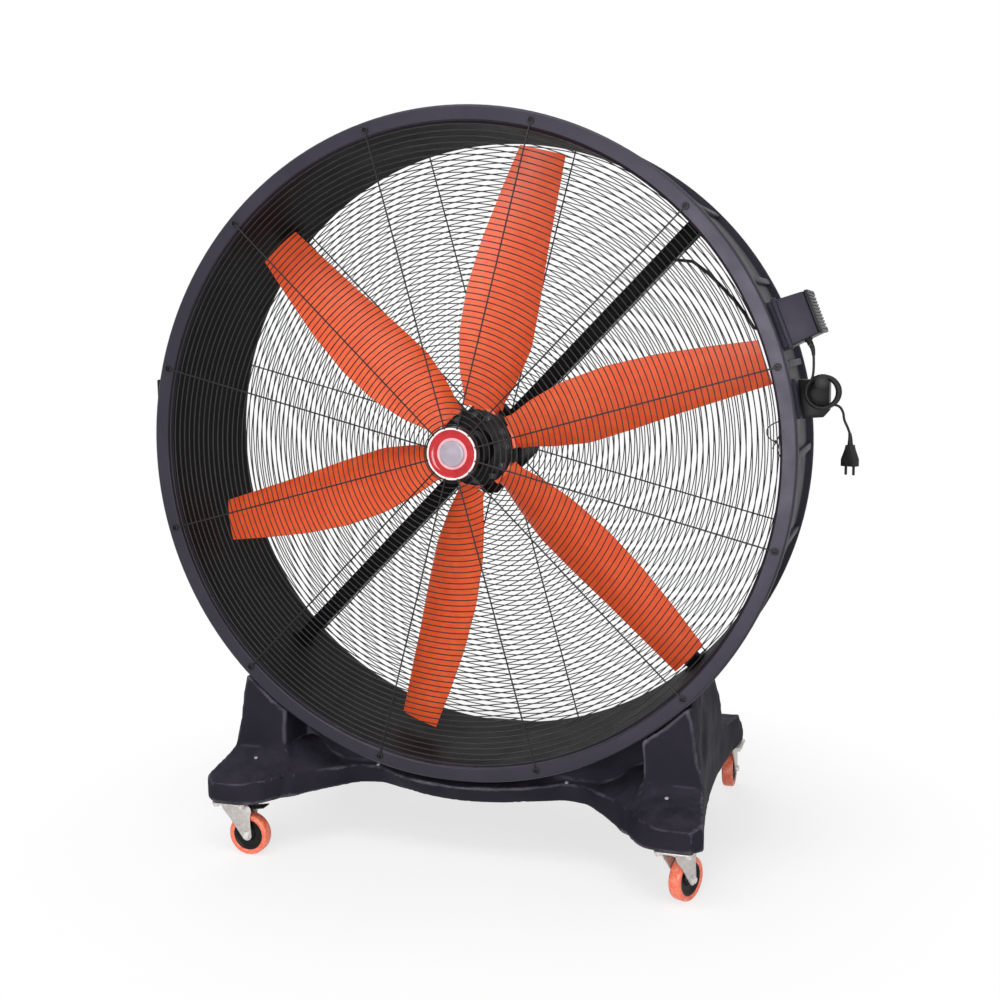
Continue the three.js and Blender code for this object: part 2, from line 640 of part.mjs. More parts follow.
function casterFork() {
  const inner = WHEEL_W / 2 + SIDE_GAP;
  const outer = inner + FORK_WALL;
  const z0 = -PLATE_Z - CLEAR;
  const z1 = z0 - FORK_TOP_T;
  const arm = AXLE_R + 8;
  const cheek = [[-FORK_TOP_R + 5, z1 + 1], [FORK_TOP_R + 9, z1 + 1], [FORK_TOP_R + 9, z1 - 12],
    [TRAIL + arm, axleZ() + 4], [TRAIL + 8, axleZ() - arm + 2], [TRAIL - 8, axleZ() - arm + 2],
    [TRAIL - arm, axleZ() + 2], [-FORK_TOP_R + 14, z1 - 16], [-FORK_TOP_R + 5, z1 - 8]];
  const left = alongY(cheek, -outer, -inner);
  const right = alongY(cheek, inner, outer);
  const disc = hang(turned(rodProfile(FORK_TOP_R, 0, FORK_TOP_T), 14)).translate([0, 0, z0]);
  const bore = rodProfile(flatR(KINGPIN_R + CLEAR, 8), -5, FORK_TOP_T + 5);
  const hole = hang(turned(bore, 8)).translate([0, 0, z0]);
  const axle = turned(rodProfile(AXLE_R, -outer - 2, outer + 2), 8).translate([TRAIL, 0, axleZ()]);
  const heads = [-outer - 5, outer].map((y) => turned(rodProfile(AXLE_R + 4, y - 0.2, y + 5.2), 6)
    .translate([TRAIL, 0, axleZ()]));
  return join([disc.subtract(hole), left, right, axle, ...heads]);
}

function casterTyre() {
  const w = WHEEL_W / 2;
  const bore = flatR(CORE_R + CLEAR, 18);
  const profile = [[bore, -w + 2], [WHEEL_R - 5, -w], [WHEEL_R, -w + 5], [WHEEL_R, w - 5],
    [WHEEL_R - 5, w], [bore, w - 2], [bore, -w + 2]];
  return turned(profile, 18).translate([TRAIL, 0, axleZ()]);
}

function casterCore() {
  const w = WHEEL_W / 2;
  const bore = flatR(AXLE_R + CLEAR, 12);
  const profile = [[bore, -w + 1], [15, -w + 1], [17, -w + 7], [CORE_R - 6, -w + 7],
    [CORE_R, -w + 2], [CORE_R, w - 2], [CORE_R - 6, w - 7], [17, w - 7], [15, w - 1],
    [bore, w - 1], [bore, -w + 1]];
  return turned(profile, 12).translate([TRAIL, 0, axleZ()]);
}

const pedalPivot = () => [FORK_TOP_R + 6, -PLATE_Z - CLEAR - FORK_TOP_T - 6];

function brakePedal() {
  const [x, z] = pedalPivot();
  const l = PEDAL_L;
  const t = PEDAL_T;
  const outline = [[x - 4, z - 3], [x + 6, z - 4], [x + l * 0.55, z + 1], [x + l, z + 5], [x + l + 1, z + 5 + t],
    [x + l * 0.5, z + 1 + t], [x + 4, z + 4], [x - 4, z + 3]];
  const reach = WHEEL_W / 2 + SIDE_GAP - CLEAR;
  const pin = turned(rodProfile(2.5, -reach, reach), 6).translate([x, 0, z]);
  return alongY(outline, -PEDAL_W / 2, PEDAL_W / 2).add(pin);
}

// ---- control box --------------------------------------------------------------------
function wallTool() {
  return turned(rodProfile(BODY_R + CLEAR, -20, DRUM_DEPTH + 20), DRUM_SEGMENTS * 2);
}

function rimTool() {
  return turned(rodProfile(DRUM_R + CLEAR, -20, FRONT_RIM + RIM_ROUND + CLEAR), DRUM_SEGMENTS * 2);
}

function frustum(r0, r1, y0, y1, half0, half1) {
  const outline = [[r0, -half0], [r1, -half1], [r1, half1], [r0, half0]];
  return alongY(outline, y0, y1);
}

function controlBox() {
  const grow = BOX_TAPER * 30 / (BOX_OUT - BODY_R);
  const shell = frustum(BODY_R - 30, BOX_OUT, BOX_Y, BOX_Y + BOX_DEPTH, BOX_HALF + grow, BOX_HALF - BOX_TAPER);
  const placed = upright(shell, BOX_DEG);
  return raise(cut(placed, [wallTool(), ...ribTools()]));
}

function ribTools() {
  const tools = [];
  for (let deg = -30; deg <= 210; deg += RIB_STEP_DEG) {
    const g = CLEAR;
    const rib = block(BODY_R - 6, DRUM_R - RIB_SET_IN + g, FRONT_RIM - 2, DRUM_DEPTH - REAR_RIM + 2,
      -RIB_WIDTH / 2 - g, RIB_WIDTH / 2 + g);
    tools.push(upright(rib, deg));
  }
  return tools;
}

function controlLid() {
  const r0 = BOX_OUT + CLEAR;
  const half = BOX_HALF - BOX_TAPER + 1;
  const plate = frustum(r0, r0 + LID_T - LID_RIB, BOX_Y - 1, BOX_Y + BOX_DEPTH + 1, half, half);
  const ribs = [];
  for (let i = 0; i < 7; i++) {
    const t = -half + 8 + (i * (2 * half - 16)) / 6;
    ribs.push(block(r0 + LID_T - LID_RIB - 1, r0 + LID_T, BOX_Y + 6, BOX_Y + BOX_DEPTH - 6, t - 3, t + 3));
  }
  return raise(upright(join([plate, ...ribs]), BOX_DEG));
}

const knobRadius = () => (BODY_R + BOX_OUT) / 2 + 4;

function speedKnob() {
  const y0 = BOX_Y + BOX_DEPTH + CLEAR;
  const at = polar(knobRadius(), BOX_DEG);
  const knob = turned([[0, y0], [KNOB_R, y0], [KNOB_R, y0 + 4], [KNOB_R - 3, y0 + 6],
    [KNOB_R - 4, y0 + KNOB_H], [0, y0 + KNOB_H]], 16);
  const grip = block(-3, 3, y0 + 8, y0 + KNOB_H + 4, -KNOB_R + 5, KNOB_R - 2);
  return raise(knob.add(grip).translate([at.x, 0, at.z]));
}

// ---- side lugs ----------------------------------------------------------------------
function lug(sign, peg) {
  const outline = [[BODY_R - 30, -LUG_HALF - 6], [LUG_OUT - 12, -LUG_HALF], [LUG_OUT, -LUG_HALF + 14],
    [LUG_OUT, LUG_HALF], [BODY_R - 30, LUG_HALF]].map(([x, z]) => [x * sign, z + LUG_Z]);
  let solid = alongY(outline, LUG_Y, LUG_Y + LUG_DEPTH);
  if (peg) {
    const shank = turned(rodProfile(PEG_R, LUG_Y - PEG_L, LUG_Y + 2), 12);
    const lip = turned(rodProfile(PEG_R + 5, LUG_Y - PEG_L, LUG_Y - PEG_L + 4), 12);
    solid = join([solid, shank.translate(pegAt()), lip.translate(pegAt())]);
  }
  return raise(cut(solid, [wallTool(), rimTool(), ...ribTools()]));
}

const pegAt = () => [LUG_OUT - PEG_R - 2, 0, LUG_Z + LUG_HALF - PEG_R + 6];

// ---- supply cord --------------------------------------------------------------------
// Under the control box a gland; from it the cord drops to a coil wound on the peg of the
// right lug, and its free end hangs beside the lug with the plug on it.
const boxSlope = () => Math.atan2(BOX_TAPER, BOX_OUT - BODY_R);

function glandFrame() {
  const r = BOX_OUT - 26;
  const half = BOX_HALF - BOX_TAPER * ((r - BODY_R) / (BOX_OUT - BODY_R));
  const at = polar(r, BOX_DEG).add(polar(-half, BOX_DEG + 90));
  const out = polar(1, BOX_DEG - 90 + boxSlope() / DEG);
  return { at: new THREE.Vector3(at.x, coilFrontY(), at.z), out };
}

const coilPitch = () => CORD_D + COIL_GAP;
const coilFrontY = () => LUG_Y - PEG_L + 4 + CLEAR + CORD_D / 2 + 1;
const coilCentre = () => {
  const [x, , z] = pegAt();
  return new THREE.Vector3(x, 0, z + PEG_R + CLEAR + CORD_D / 2 - COIL_R);
};

function gland() {
  const { at, out } = glandFrame();
  const profile = [[0, CLEAR], [GLAND_R, CLEAR], [GLAND_R, 5], [GLAND_R - 2.5, 6], [GLAND_R - 2.5, GLAND_L], [0, GLAND_L]];
  const turn = Math.atan2(out.z, out.x) / DEG + 90;
  return raise(hang(turned(profile, 10)).rotate([0, -turn, 0]).translate([at.x, at.y, at.z]));
}

// The coil is a helix about an axis along Y: it starts at its upper left, going down.
const COIL_START_DEG = 150;
const COIL_END_DEG = 285;

const coilTurns = () => COIL_TURNS + (COIL_END_DEG - COIL_START_DEG) / 360;
const COIL_STEPS = 24; // in one turn

function coilPoint(turn) {
  const centre = coilCentre();
  const around = polar(COIL_R, COIL_START_DEG + 360 * turn);
  return centre.add(around).setY(coilFrontY() + coilPitch() * turn);
}

function coilTangent(turn) {
  const deg = COIL_START_DEG + 360 * turn;
  const rise = coilPitch() / (2 * Math.PI * COIL_R);
  return new THREE.Vector3(-Math.sin(deg * DEG), rise, Math.cos(deg * DEG)).normalize();
}

function coilEnds() {
  const into = coilTangent(0);
  const outOf = coilTangent(coilTurns());
  const first = coilPoint(0).addScaledVector(into, -CORD_D);
  const last = coilPoint(coilTurns()).addScaledVector(outOf, CORD_D);
  return { first, last, into, outOf };
}

// The helix with a straight of one cord diameter at each end, one step long each.
class CoilCurve extends THREE.Curve {
  constructor() {
    super();
    this.steps = Math.round(coilTurns() * COIL_STEPS);
  }

  getPoint(t, target = new THREE.Vector3()) {
    const { first, last } = coilEnds();
    const k = t * (this.steps + 2) - 1;
    if (k < 0) return target.lerpVectors(first, coilPoint(0), k + 1);
    if (k <= this.steps) return target.copy(coilPoint((k / this.steps) * coilTurns()));
    return target.lerpVectors(coilPoint(coilTurns()), last, k - this.steps);
  }

  getPointAt(t, target) {
    return this.getPoint(t, target);
  }

  getTangentAt(t, target) {
    return this.getTangent(t, target);
  }
}

// Least gap between stretches of one round tube that do not follow each other at once.
function leastGap(curve, diameter, samples) {
  const points = curve.getPoints(samples);
  const step = curve.getLength() / samples;
  const apart = Math.ceil((3 * diameter) / step);
  let least = Infinity;
  for (let i = 0; i < points.length; i++) {
    for (let j = i + apart; j < points.length; j++) {
      least = Math.min(least, points[i].distanceTo(points[j]));
    }
  }
  return least - diameter;
}

function cordCoil() {
  const curve = new CoilCurve();
  console.log(`cord_coil: least gap to itself ${leastGap(curve, CORD_D, 400).toFixed(2)} mm`);
  return raise(tube(curve, CORD_D, curve.steps + 2, 6));
}

// A smooth route with the same few steps between each two of its points, so that bends
// get more of them than straights.
class Route extends THREE.CatmullRomCurve3 {
  constructor(points) {
    super(points, false, 'centripetal');
  }

  getPointAt(t, target) {
    return this.getPoint(t, target);
  }

  getTangentAt(t, target) {
    return this.getTangent(t, target);
  }
}

function cordAlong(points) {
  return raise(tube(new Route(points), CORD_D, 3 * (points.length - 1), 6));
}

function leadPoints() {
  const { at, out } = glandFrame();
  const { first, into } = coilEnds();
  const from = at.clone().addScaledVector(out, GLAND_L + CLEAR);
  const to = first.clone().addScaledVector(into, -CLEAR);
  const before = to.clone().addScaledVector(into, -12);
  const bow = before.clone().lerp(from, 0.5).add(new THREE.Vector3(COIL_R / 8, 0, 0));
  return [from, from.clone().addScaledVector(out, 8), bow, before, to];
}

// Free end: out of the coil to the right, round and down, with its last stretch plumb.
function tailPoints() {
  const { last, outOf } = coilEnds();
  const from = last.clone().addScaledVector(outOf, CLEAR);
  const { x, y, z } = from;
  const end = coilCentre().z - PLUG_DROP;
  const right = (across, along, up) => new THREE.Vector3(x + across, y + along, up);
  return [
    from, from.clone().addScaledVector(outOf, 7), right(20, 2, z - 3), right(27, 3, z - 15),
    right(30, 4, z - 31), right(37, 5, z - 47), right(42, 6, end + 22), right(43, 6, end + 9), right(43, 6, end),
  ];
}

// A plain plug that hangs from the cord, its pins down.
function plug() {
  const l = PLUG_L;
  const w = PLUG_W / 2;
  const outline = [[0, -6], [9, -8], [l - 15, -w], [l, -w], [l, w], [l - 15, w], [9, 8], [0, 6]];
  const body = alongZ(outline, -PLUG_T / 2, PLUG_T / 2);
  const pins = [-9.5, 9.5].map((y) => block(l - 1, l + 19, y - 2.4, y + 2.4, -2.4, 2.4));
  const end = tailPoints().pop();
  return raise(join([body, ...pins]).rotate([0, 90, PLUG_DEG]).translate([end.x, end.y, end.z - CLEAR]));
}

// ---- materials ----------------------------------------------------------------------
const paint = (color, roughness, metalness = 0) => new THREE.MeshStandardMaterial({ color, roughness, metalness });
const MOULDED = paint(0x34323c, 0.55);
const WIRE_BLACK = paint(0x17171a, 0.45, 0.3);
const ORANGE = paint(0xd9512c, 0.4);
const CASTING = paint(0x1d1d20, 0.5, 0.4);
const ZINC = paint(0xb5b0ae, 0.35, 0.9);
const TYRE_ORANGE = paint(0xf0775a, 0.5);
const CORE_BLACK = paint(0x202024, 0.6);
const RED_GLOSS = paint(0xc8262b, 0.2);
const PLAIN_GREY = paint(0xa9a7ae, 0.25);
const RUBBER = paint(0x141416, 0.7);
const STEEL = paint(0x8f9196, 0.35, 0.9);

// ---- assembly -----------------------------------------------------------------------
const fan = new THREE.Group();
const cordNodes = new THREE.Group();

function put(parent, name, solid, material) {
  const mesh = new THREE.Mesh(geometryOf(solid), material);
  mesh.name = name;
  parent.add(mesh);
  return mesh;
}

put(fan, 'drum_shell', drumShell(), MOULDED);
put(fan, 'pedestal_base', pedestal(), MOULDED);
put(fan, 'front_grille', frontGuard(), WIRE_BLACK);
put(fan, 'rear_grille', rearGuard(), WIRE_BLACK);
put(fan, 'badge_dish', badgeDish(), RED_GLOSS);
put(fan, 'badge_disc', badgeDisc(), PLAIN_GREY);
for (let i = 0; i < BLADES; i++) put(fan, `blade_${i + 1}`, blade(i), ORANGE);
put(fan, 'blade_hub', bladeHub(), CASTING);
put(fan, 'hub_plate', hubPlate(), CASTING);
put(fan, 'motor_shaft', motorShaft(), STEEL);
for (let i = 0; i < 4; i++) {
  const deg = BAR_START_DEG + 90 * i;
  put(fan, `support_bar_${i + 1}`, supportBar(deg), CASTING);
  put(fan, `bar_bracket_${i + 1}`, barBracket(deg), CASTING);
}
put(fan, 'motor_mount', motorMount(), CASTING);
put(fan, 'motor_body', motorBody(), CASTING);
put(fan, 'motor_cowl', motorCowl(), CASTING);
put(fan, 'terminal_box', terminalBox(), CORE_BLACK);
put(fan, 'motor_cable', motorCable(), RUBBER);
put(fan, 'control_box', controlBox(), MOULDED);
put(fan, 'control_lid', controlLid(), CORE_BLACK);
put(fan, 'speed_knob', speedKnob(), CORE_BLACK);
put(fan, 'left_lug', lug(-1, false), CORE_BLACK);
put(fan, 'cord_hook', lug(1, true), CORE_BLACK);

// Each caster as photographed: how far its wheel has swung about the swivel axis.
const CASTERS = [
  ['fl', -CASTER_X, CASTER_FRONT_Y, 0, true],
  ['fr', CASTER_X, CASTER_FRONT_Y, 67, true],
  ['rl', -CASTER_X, CASTER_REAR_Y, 100, false],
  ['rr', CASTER_X, CASTER_REAR_Y, 90, false],
];
for (const [tag, x, y, deg, braked] of CASTERS) {
  const caster = new THREE.Group();
  caster.position.set(x, y, CASTER_H);
  const swivel = new THREE.Group();
  swivel.rotation.z = deg * DEG;
  caster.add(swivel);
  put(caster, `caster_${tag}_plate`, casterPlate(), ZINC);
  put(swivel, `caster_${tag}_fork`, casterFork(), ZINC);
  put(swivel, `caster_${tag}_tyre`, casterTyre(), TYRE_ORANGE);
  put(swivel, `caster_${tag}_core`, casterCore(), CORE_BLACK);
  if (braked) put(swivel, `caster_${tag}_pedal`, brakePedal(), CORE_BLACK);
  fan.add(caster);
}

put(cordNodes, 'cord_gland', gland(), RUBBER);
put(cordNodes, 'cord_lead', cordAlong(leadPoints()), RUBBER);
put(cordNodes, 'cord_coil', cordCoil(), RUBBER);
put(cordNodes, 'cord_tail', cordAlong(tailPoints()), RUBBER);
put(cordNodes, 'plug', plug(), RUBBER);

// The origin is on the floor, under the middle of everything but the cord.
fan.updateMatrixWorld(true);
const size = new THREE.Box3().setFromObject(fan, true);
const group = new THREE.Group();
group.position.set(-(size.min.x + size.max.x) / 2, -(size.min.y + size.max.y) / 2, 0);
group.add(fan, cordNodes);
group.updateMatrixWorld(true);

export default group;
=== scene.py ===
from math import atan2, copysign, cos, hypot, pi, radians, sin, sqrt

import bmesh
import bpy
from mathutils import Matrix, Vector

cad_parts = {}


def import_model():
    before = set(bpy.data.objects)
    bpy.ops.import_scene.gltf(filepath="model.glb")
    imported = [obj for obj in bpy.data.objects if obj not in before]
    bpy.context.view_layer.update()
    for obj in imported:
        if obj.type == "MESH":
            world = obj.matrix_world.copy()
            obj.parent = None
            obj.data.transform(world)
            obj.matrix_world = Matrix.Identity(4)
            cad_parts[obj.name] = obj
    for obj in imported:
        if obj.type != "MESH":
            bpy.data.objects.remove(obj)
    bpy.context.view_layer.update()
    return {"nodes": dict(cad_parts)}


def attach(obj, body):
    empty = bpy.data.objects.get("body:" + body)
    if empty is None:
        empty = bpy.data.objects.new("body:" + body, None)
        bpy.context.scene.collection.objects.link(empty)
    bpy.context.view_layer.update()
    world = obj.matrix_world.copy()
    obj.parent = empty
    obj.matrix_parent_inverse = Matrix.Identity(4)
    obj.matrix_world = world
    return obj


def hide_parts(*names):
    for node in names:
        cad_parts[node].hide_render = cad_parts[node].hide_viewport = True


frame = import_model()
NODES = frame["nodes"]
MM = 0.001

# The fan's own axes in the frame: x and y of the drum's axis at the flange face.
OFFSET = Vector((-0.0015, -0.3098257, 0.0))
AXIS_Z = 0.965


def at(x, y, z):
    """A point given in millimetres from the flange's centre."""
    return Vector((x, y, z)) * MM + OFFSET + Vector((0, 0, AXIS_Z))


def polar(r, deg, y=0.0):
    a = radians(deg)
    return at(r * cos(a), y, r * sin(a))


def in_scene(name, data):
    """A new object in the scene."""
    thing = bpy.data.objects.new(name, data)
    bpy.context.scene.collection.objects.link(thing)
    return thing


def mesh_of(name, bm):
    """The mesh of a bmesh, which is freed."""
    mesh = bpy.data.meshes.new(name)
    bm.to_mesh(mesh)
    bm.free()
    return mesh


# ---- node materials
def linear(hex_colour):
    """An sRGB hex colour as the linear RGBA that a shader takes."""
    channels = []
    for i in (1, 3, 5):
        c = int(hex_colour[i:i + 2], 16) / 255
        channels.append(c / 12.92 if c <= 0.04045 else ((c + 0.055) / 1.055) ** 2.4)
    return (*channels, 1.0)


def per_mm(size):
    """Texture scale at which one feature is that many millimetres across."""
    return 1000.0 / size


def add(tree, kind, inputs=None, **settings):
    """Adds a node; an input that is given another node's output is linked to it."""
    made = tree.nodes.new(kind)
    for key, value in settings.items():
        setattr(made, key, value)
    for key, value in (inputs or {}).items():
        if isinstance(value, bpy.types.NodeSocket):
            tree.links.new(value, made.inputs[key])
        else:
            made.inputs[key].default_value = value
    return made


def ramp(tree, value, stops):
    """A colour ramp from (place, sRGB hex) stops."""
    made = add(tree, "ShaderNodeValToRGB", {"Fac": value})
    points = made.color_ramp.elements
    while len(points) < len(stops):
        points.new(0.5)
    for point, (place, colour) in zip(points, stops):
        point.position = place
        point.color = linear(colour)
    return made.outputs["Color"]


def remap(tree, value, low, high, to_low=0.0, to_high=1.0, **settings):
    """Maps a range on to another, or on to 0 to 1, and holds it at the ends."""
    return add(tree, "ShaderNodeMapRange", {
        "Value": value, "From Min": low, "From Max": high, "To Min": to_low, "To Max": to_high,
    }, **settings).outputs["Result"]


def blend(tree, share, under, over):
    """A colour laid over another by a share from 0 to 1."""
    made = add(tree, "ShaderNodeMix", {0: share, 6: under, 7: over}, data_type="RGBA")
    return made.outputs[2]


def times(tree, one, other):
    return add(tree, "ShaderNodeMath", {0: one, 1: other},
               operation="MULTIPLY", use_clamp=True).outputs[0]


class Finish:
    """A new node material: its tree, its shader and the piece's own coordinates."""

    def __init__(self, name):
        self.material = bpy.data.materials.new(name)
        self.material.use_nodes = True
        tree = self.tree = self.material.node_tree
        tree.nodes.clear()
        shader = self.shader = add(tree, "ShaderNodeBsdfPrincipled")
        self.output = add(tree, "ShaderNodeOutputMaterial", {"Surface": shader.outputs["BSDF"]})
        self.where = add(tree, "ShaderNodeTexCoord").outputs["Object"]

    def noise(self, size, detail, roughness=0.5, where=None):
        """Noise with features of about that many millimetres."""
        return add(self.tree, "ShaderNodeTexNoise", {
            "Vector": self.where if where is None else where, "Scale": per_mm(size),
            "Detail": detail, "Roughness": roughness,
        }).outputs["Fac"]

    def mixed(self, share, one, other):
        """Two values mixed, with that share of the other."""
        made = add(self.tree, "ShaderNodeMix", {"Factor": share, "A": one, "B": other})
        return made.outputs["Result"]

    def link(self, name, value):
        self.tree.links.new(value, self.shader.inputs[name])

    def fixed(self, **inputs):
        """Sets shader inputs, whose names have underscores for spaces."""
        for name, value in inputs.items():
            self.shader.inputs[name.replace("_", " ")].default_value = value

    def gloss(self, level):
        self.shader.inputs["Specular IOR Level"].default_value = level

    def colour(self, value, *stops):
        self.link("Base Color", ramp(self.tree, value, stops))

    def rough(self, value, low, high):
        """Roughness from low to high over the middle of a value's range."""
        self.link("Roughness", remap(self.tree, value, 0.3, 0.7, low, high))

    def bump(self, height, depth, strength, under=None):
        """A bump of that many millimetres."""
        inputs = {"Height": height, "Distance": depth * MM, "Strength": strength}
        if under is not None:
            inputs["Normal"] = under
        normal = add(self.tree, "ShaderNodeBump", inputs).outputs["Normal"]
        self.link("Normal", normal)
        return normal


def rotomoulded_polyethylene(side, gloss, smooth, edge_highlight=0.0):
    """Drum, base and control box: black LLDPE with a violet cast. The flange's side of the
    mould is polished and the rest sandblasted, so the flange is satin and the walls are
    dull, with a faint orange peel and cloudy gloss where the powder fused. What faces up is
    paler, partly a dusting and partly painted light from above. On the base a painted
    highlight runs along the convex edges, broken up by noise, and another lies in the folds."""
    # Pale colours: a dusting mixed with painted top light, a painted edge highlight and a painted
    # highlight for the folds.
    dust_and_top_light, painted_edge_highlight, painted_fold_highlight = linear("#4d4a56"), linear("#6f6c77"), linear("#5b5863")
    dust_and_top_light_share, fold_highlight_share = 0.34, 0.4
    made = Finish("rotomoulded_polyethylene_" + side)
    tree = made.tree
    grain = made.noise(2.6, 4, 0.6)
    colour = ramp(tree, made.mixed(0.3, made.noise(140, 3), grain),
                  [(0.3, "#1f1d25"), (0.55, "#25232b"), (0.75, "#2d2a34")])
    surface = add(tree, "ShaderNodeNewGeometry").outputs
    facing_up = add(tree, "ShaderNodeSeparateXYZ", {0: surface["Normal"]}).outputs["Z"]
    # Upward faces lighten: partly a dusting, partly painted light falling from above.
    dust_and_top_light_mask = times(tree, remap(tree, facing_up, 0.55, 1.0),
                    remap(tree, made.noise(45, 6, 0.7), 0.34, 0.66))
    colour = blend(tree, times(tree, dust_and_top_light_mask, dust_and_top_light_share), colour, dust_and_top_light)
    if edge_highlight:
        # Painted highlight along convex edges, broken up by noise.
        edge_highlight_mask = times(tree, remap(tree, surface["Pointiness"], 0.518, 0.55),
                     remap(tree, made.noise(60, 5, 0.7), 0.3, 0.6))
        colour = blend(tree, times(tree, edge_highlight_mask, edge_highlight), colour, painted_edge_highlight)
        # Painted highlight in the concave folds as well.
        fold_highlight_mask = remap(tree, surface["Pointiness"], 0.484, 0.462)
        colour = blend(tree, times(tree, fold_highlight_mask, fold_highlight_share), colour, painted_fold_highlight)
    made.link("Base Color", colour)
    made.rough(made.noise(60, 3), smooth, smooth + 0.12)
    made.gloss(gloss)
    made.fixed(IOR=1.5, Specular_Tint=linear("#efeaff"))
    wave = made.bump(made.noise(38, 1), 0.35, 0.5)
    made.bump(grain, 0.12, 0.6, wave)
    return made.material


def painted_shade_polyethylene():
    """The drum's inner wall: the same moulding, painted near black as the shade inside the drum and
    under the guard, and duller.
    """
    made = Finish("inner_polyethylene_painted_shade")
    cloud = made.noise(90, 4)
    # Near-black colour as painted shade for the inside of the drum.
    made.colour(cloud, (0.3, "#0b0b0c"), (0.7, "#131315"))
    made.rough(cloud, 0.6, 0.72)
    made.gloss(0.07)
    made.bump(made.noise(2.6, 3), 0.12, 0.6)
    return made.material


def powder_coated_wire():
    """Guard wire: drawn steel under black powder coat, slightly pebbled."""
    made = Finish("powder_coated_wire")
    coat = made.noise(1.4, 2)
    made.colour(made.noise(80, 2), (0.35, "#0c0c0e"), (0.7, "#161619"))
    made.rough(coat, 0.32, 0.46)
    made.gloss(0.35)
    made.bump(coat, 0.05, 0.5)
    return made.material


def moulded_blade_nylon():
    """Blades: orange-red glass-filled nylon. Satin, with flow streaks along the blade and
    a fine matt grain."""
    made = Finish("moulded_blade_nylon")
    streak = made.noise(26, 4, 0.62)
    both = made.mixed(0.45, streak, made.noise(190, 2))
    made.colour(both, (0.32, "#dd4d22"), (0.52, "#e75a2c"), (0.72, "#ee6a3c"))
    made.rough(streak, 0.34, 0.46)
    made.gloss(0.4)
    made.fixed(IOR=1.53)
    made.bump(made.noise(1.6, 3), 0.05, 0.5)
    return made.material


def painted_casting(name="black_enamelled_casting", gloss=0.18, smooth=0.3):
    """Hub, motor and cross: cast iron and steel under black enamel, the sand texture
    showing through; the bars are duller."""
    made = Finish(name)
    sand = made.noise(3.2, 4, 0.6)
    made.colour(made.noise(45, 3), (0.3, "#08080a"), (0.75, "#111113"))
    made.rough(sand, smooth, smooth + 0.16)
    made.gloss(gloss)
    made.bump(sand, 0.25, 0.6)
    return made.material


def zinc_plated_steel(name="zinc_plated_steel", light="#c9c4c0", dark="#a9a4a1"):
    """Caster forks and plates: pressed steel, bright zinc that has gone matt, with
    faint drawing marks up and down."""
    made = Finish(name)
    upright = add(made.tree, "ShaderNodeMapping", {"Vector": made.where, "Scale": (1, 1, 0.12)})
    marks = made.noise(1.5, 3, where=upright.outputs["Vector"])
    spangle = add(made.tree, "ShaderNodeTexVoronoi", {"Vector": made.where, "Scale": per_mm(7)})
    both = made.mixed(0.35, marks, spangle.outputs["Distance"])
    made.colour(both, (0.2, dark), (0.65, light))
    made.rough(marks, 0.34, 0.52)
    made.fixed(Metallic=0.75)
    made.bump(marks, 0.03, 0.5)
    return made.material


def turned_steel():
    """Shaft: bright turned steel with rings round its axis."""
    made = Finish("turned_steel")
    rings = add(made.tree, "ShaderNodeTexWave", {
        "Vector": made.where, "Scale": per_mm(3), "Distortion": 0.4,
    }, bands_direction="Y").outputs["Fac"]
    made.colour(rings, (0.2, "#8e9094"), (0.8, "#a6a8ab"))
    made.rough(rings, 0.25, 0.38)
    made.fixed(Metallic=1.0)
    return made.material


def polyurethane_tyre():
    """Caster tyres: cast orange polyurethane, waxy and a little translucent, with pale
    scuffs where it rolls."""
    made = Finish("cast_polyurethane")
    scuff = made.noise(9, 4, 0.6)
    made.colour(scuff, (0.36, "#d95f42"), (0.5, "#e26f52"), (0.68, "#ec9079"))
    made.rough(scuff, 0.28, 0.42)
    made.fixed(Subsurface_Weight=0.12, Subsurface_Radius=(0.004, 0.0015, 0.001))
    made.bump(scuff, 0.08, 0.4)
    return made.material


def black_polypropylene(name="black_polypropylene", light="#18181a", dark="#0e0e0f"):
    """Caster cores, lid, lugs and knob: injection-moulded, with a spark-eroded grain."""
    made = Finish(name)
    grain = made.noise(0.9, 3)
    made.colour(made.noise(30, 3), (0.35, dark), (0.7, light))
    made.rough(grain, 0.36, 0.52)
    made.gloss(0.2)
    made.bump(grain, 0.05, 0.6)
    return made.material


def lacquered(name, light, dark, rough=0.16):
    """Badge parts: gloss lacquer over a smooth plastic, with faint orange peel."""
    made = Finish(name)
    made.colour(made.noise(24, 2), (0.35, dark), (0.7, light))
    made.gloss(0.3)
    made.fixed(Roughness=rough, Coat_Weight=0.35, Coat_Roughness=0.06)
    made.bump(made.noise(4, 1), 0.03, 0.4)
    return made.material


def rubber_sheath():
    """Supply cord: extruded rubber, matt black with a dusty bloom."""
    made = Finish("rubber_sheath")
    bloom = made.noise(9, 4, 0.6)
    made.colour(bloom, (0.35, "#0b0b0c"), (0.7, "#161617"))
    made.rough(bloom, 0.5, 0.68)
    made.gloss(0.3)
    made.bump(made.noise(0.8, 2), 0.04, 0.5)
    return made.material


WALL_POLYETHYLENE = rotomoulded_polyethylene("wall", 0.14, 0.46)
FLANGE_POLYETHYLENE = rotomoulded_polyethylene("flange", 0.36, 0.33)
BOX_POLYETHYLENE = rotomoulded_polyethylene("box", 0.22, 0.4)
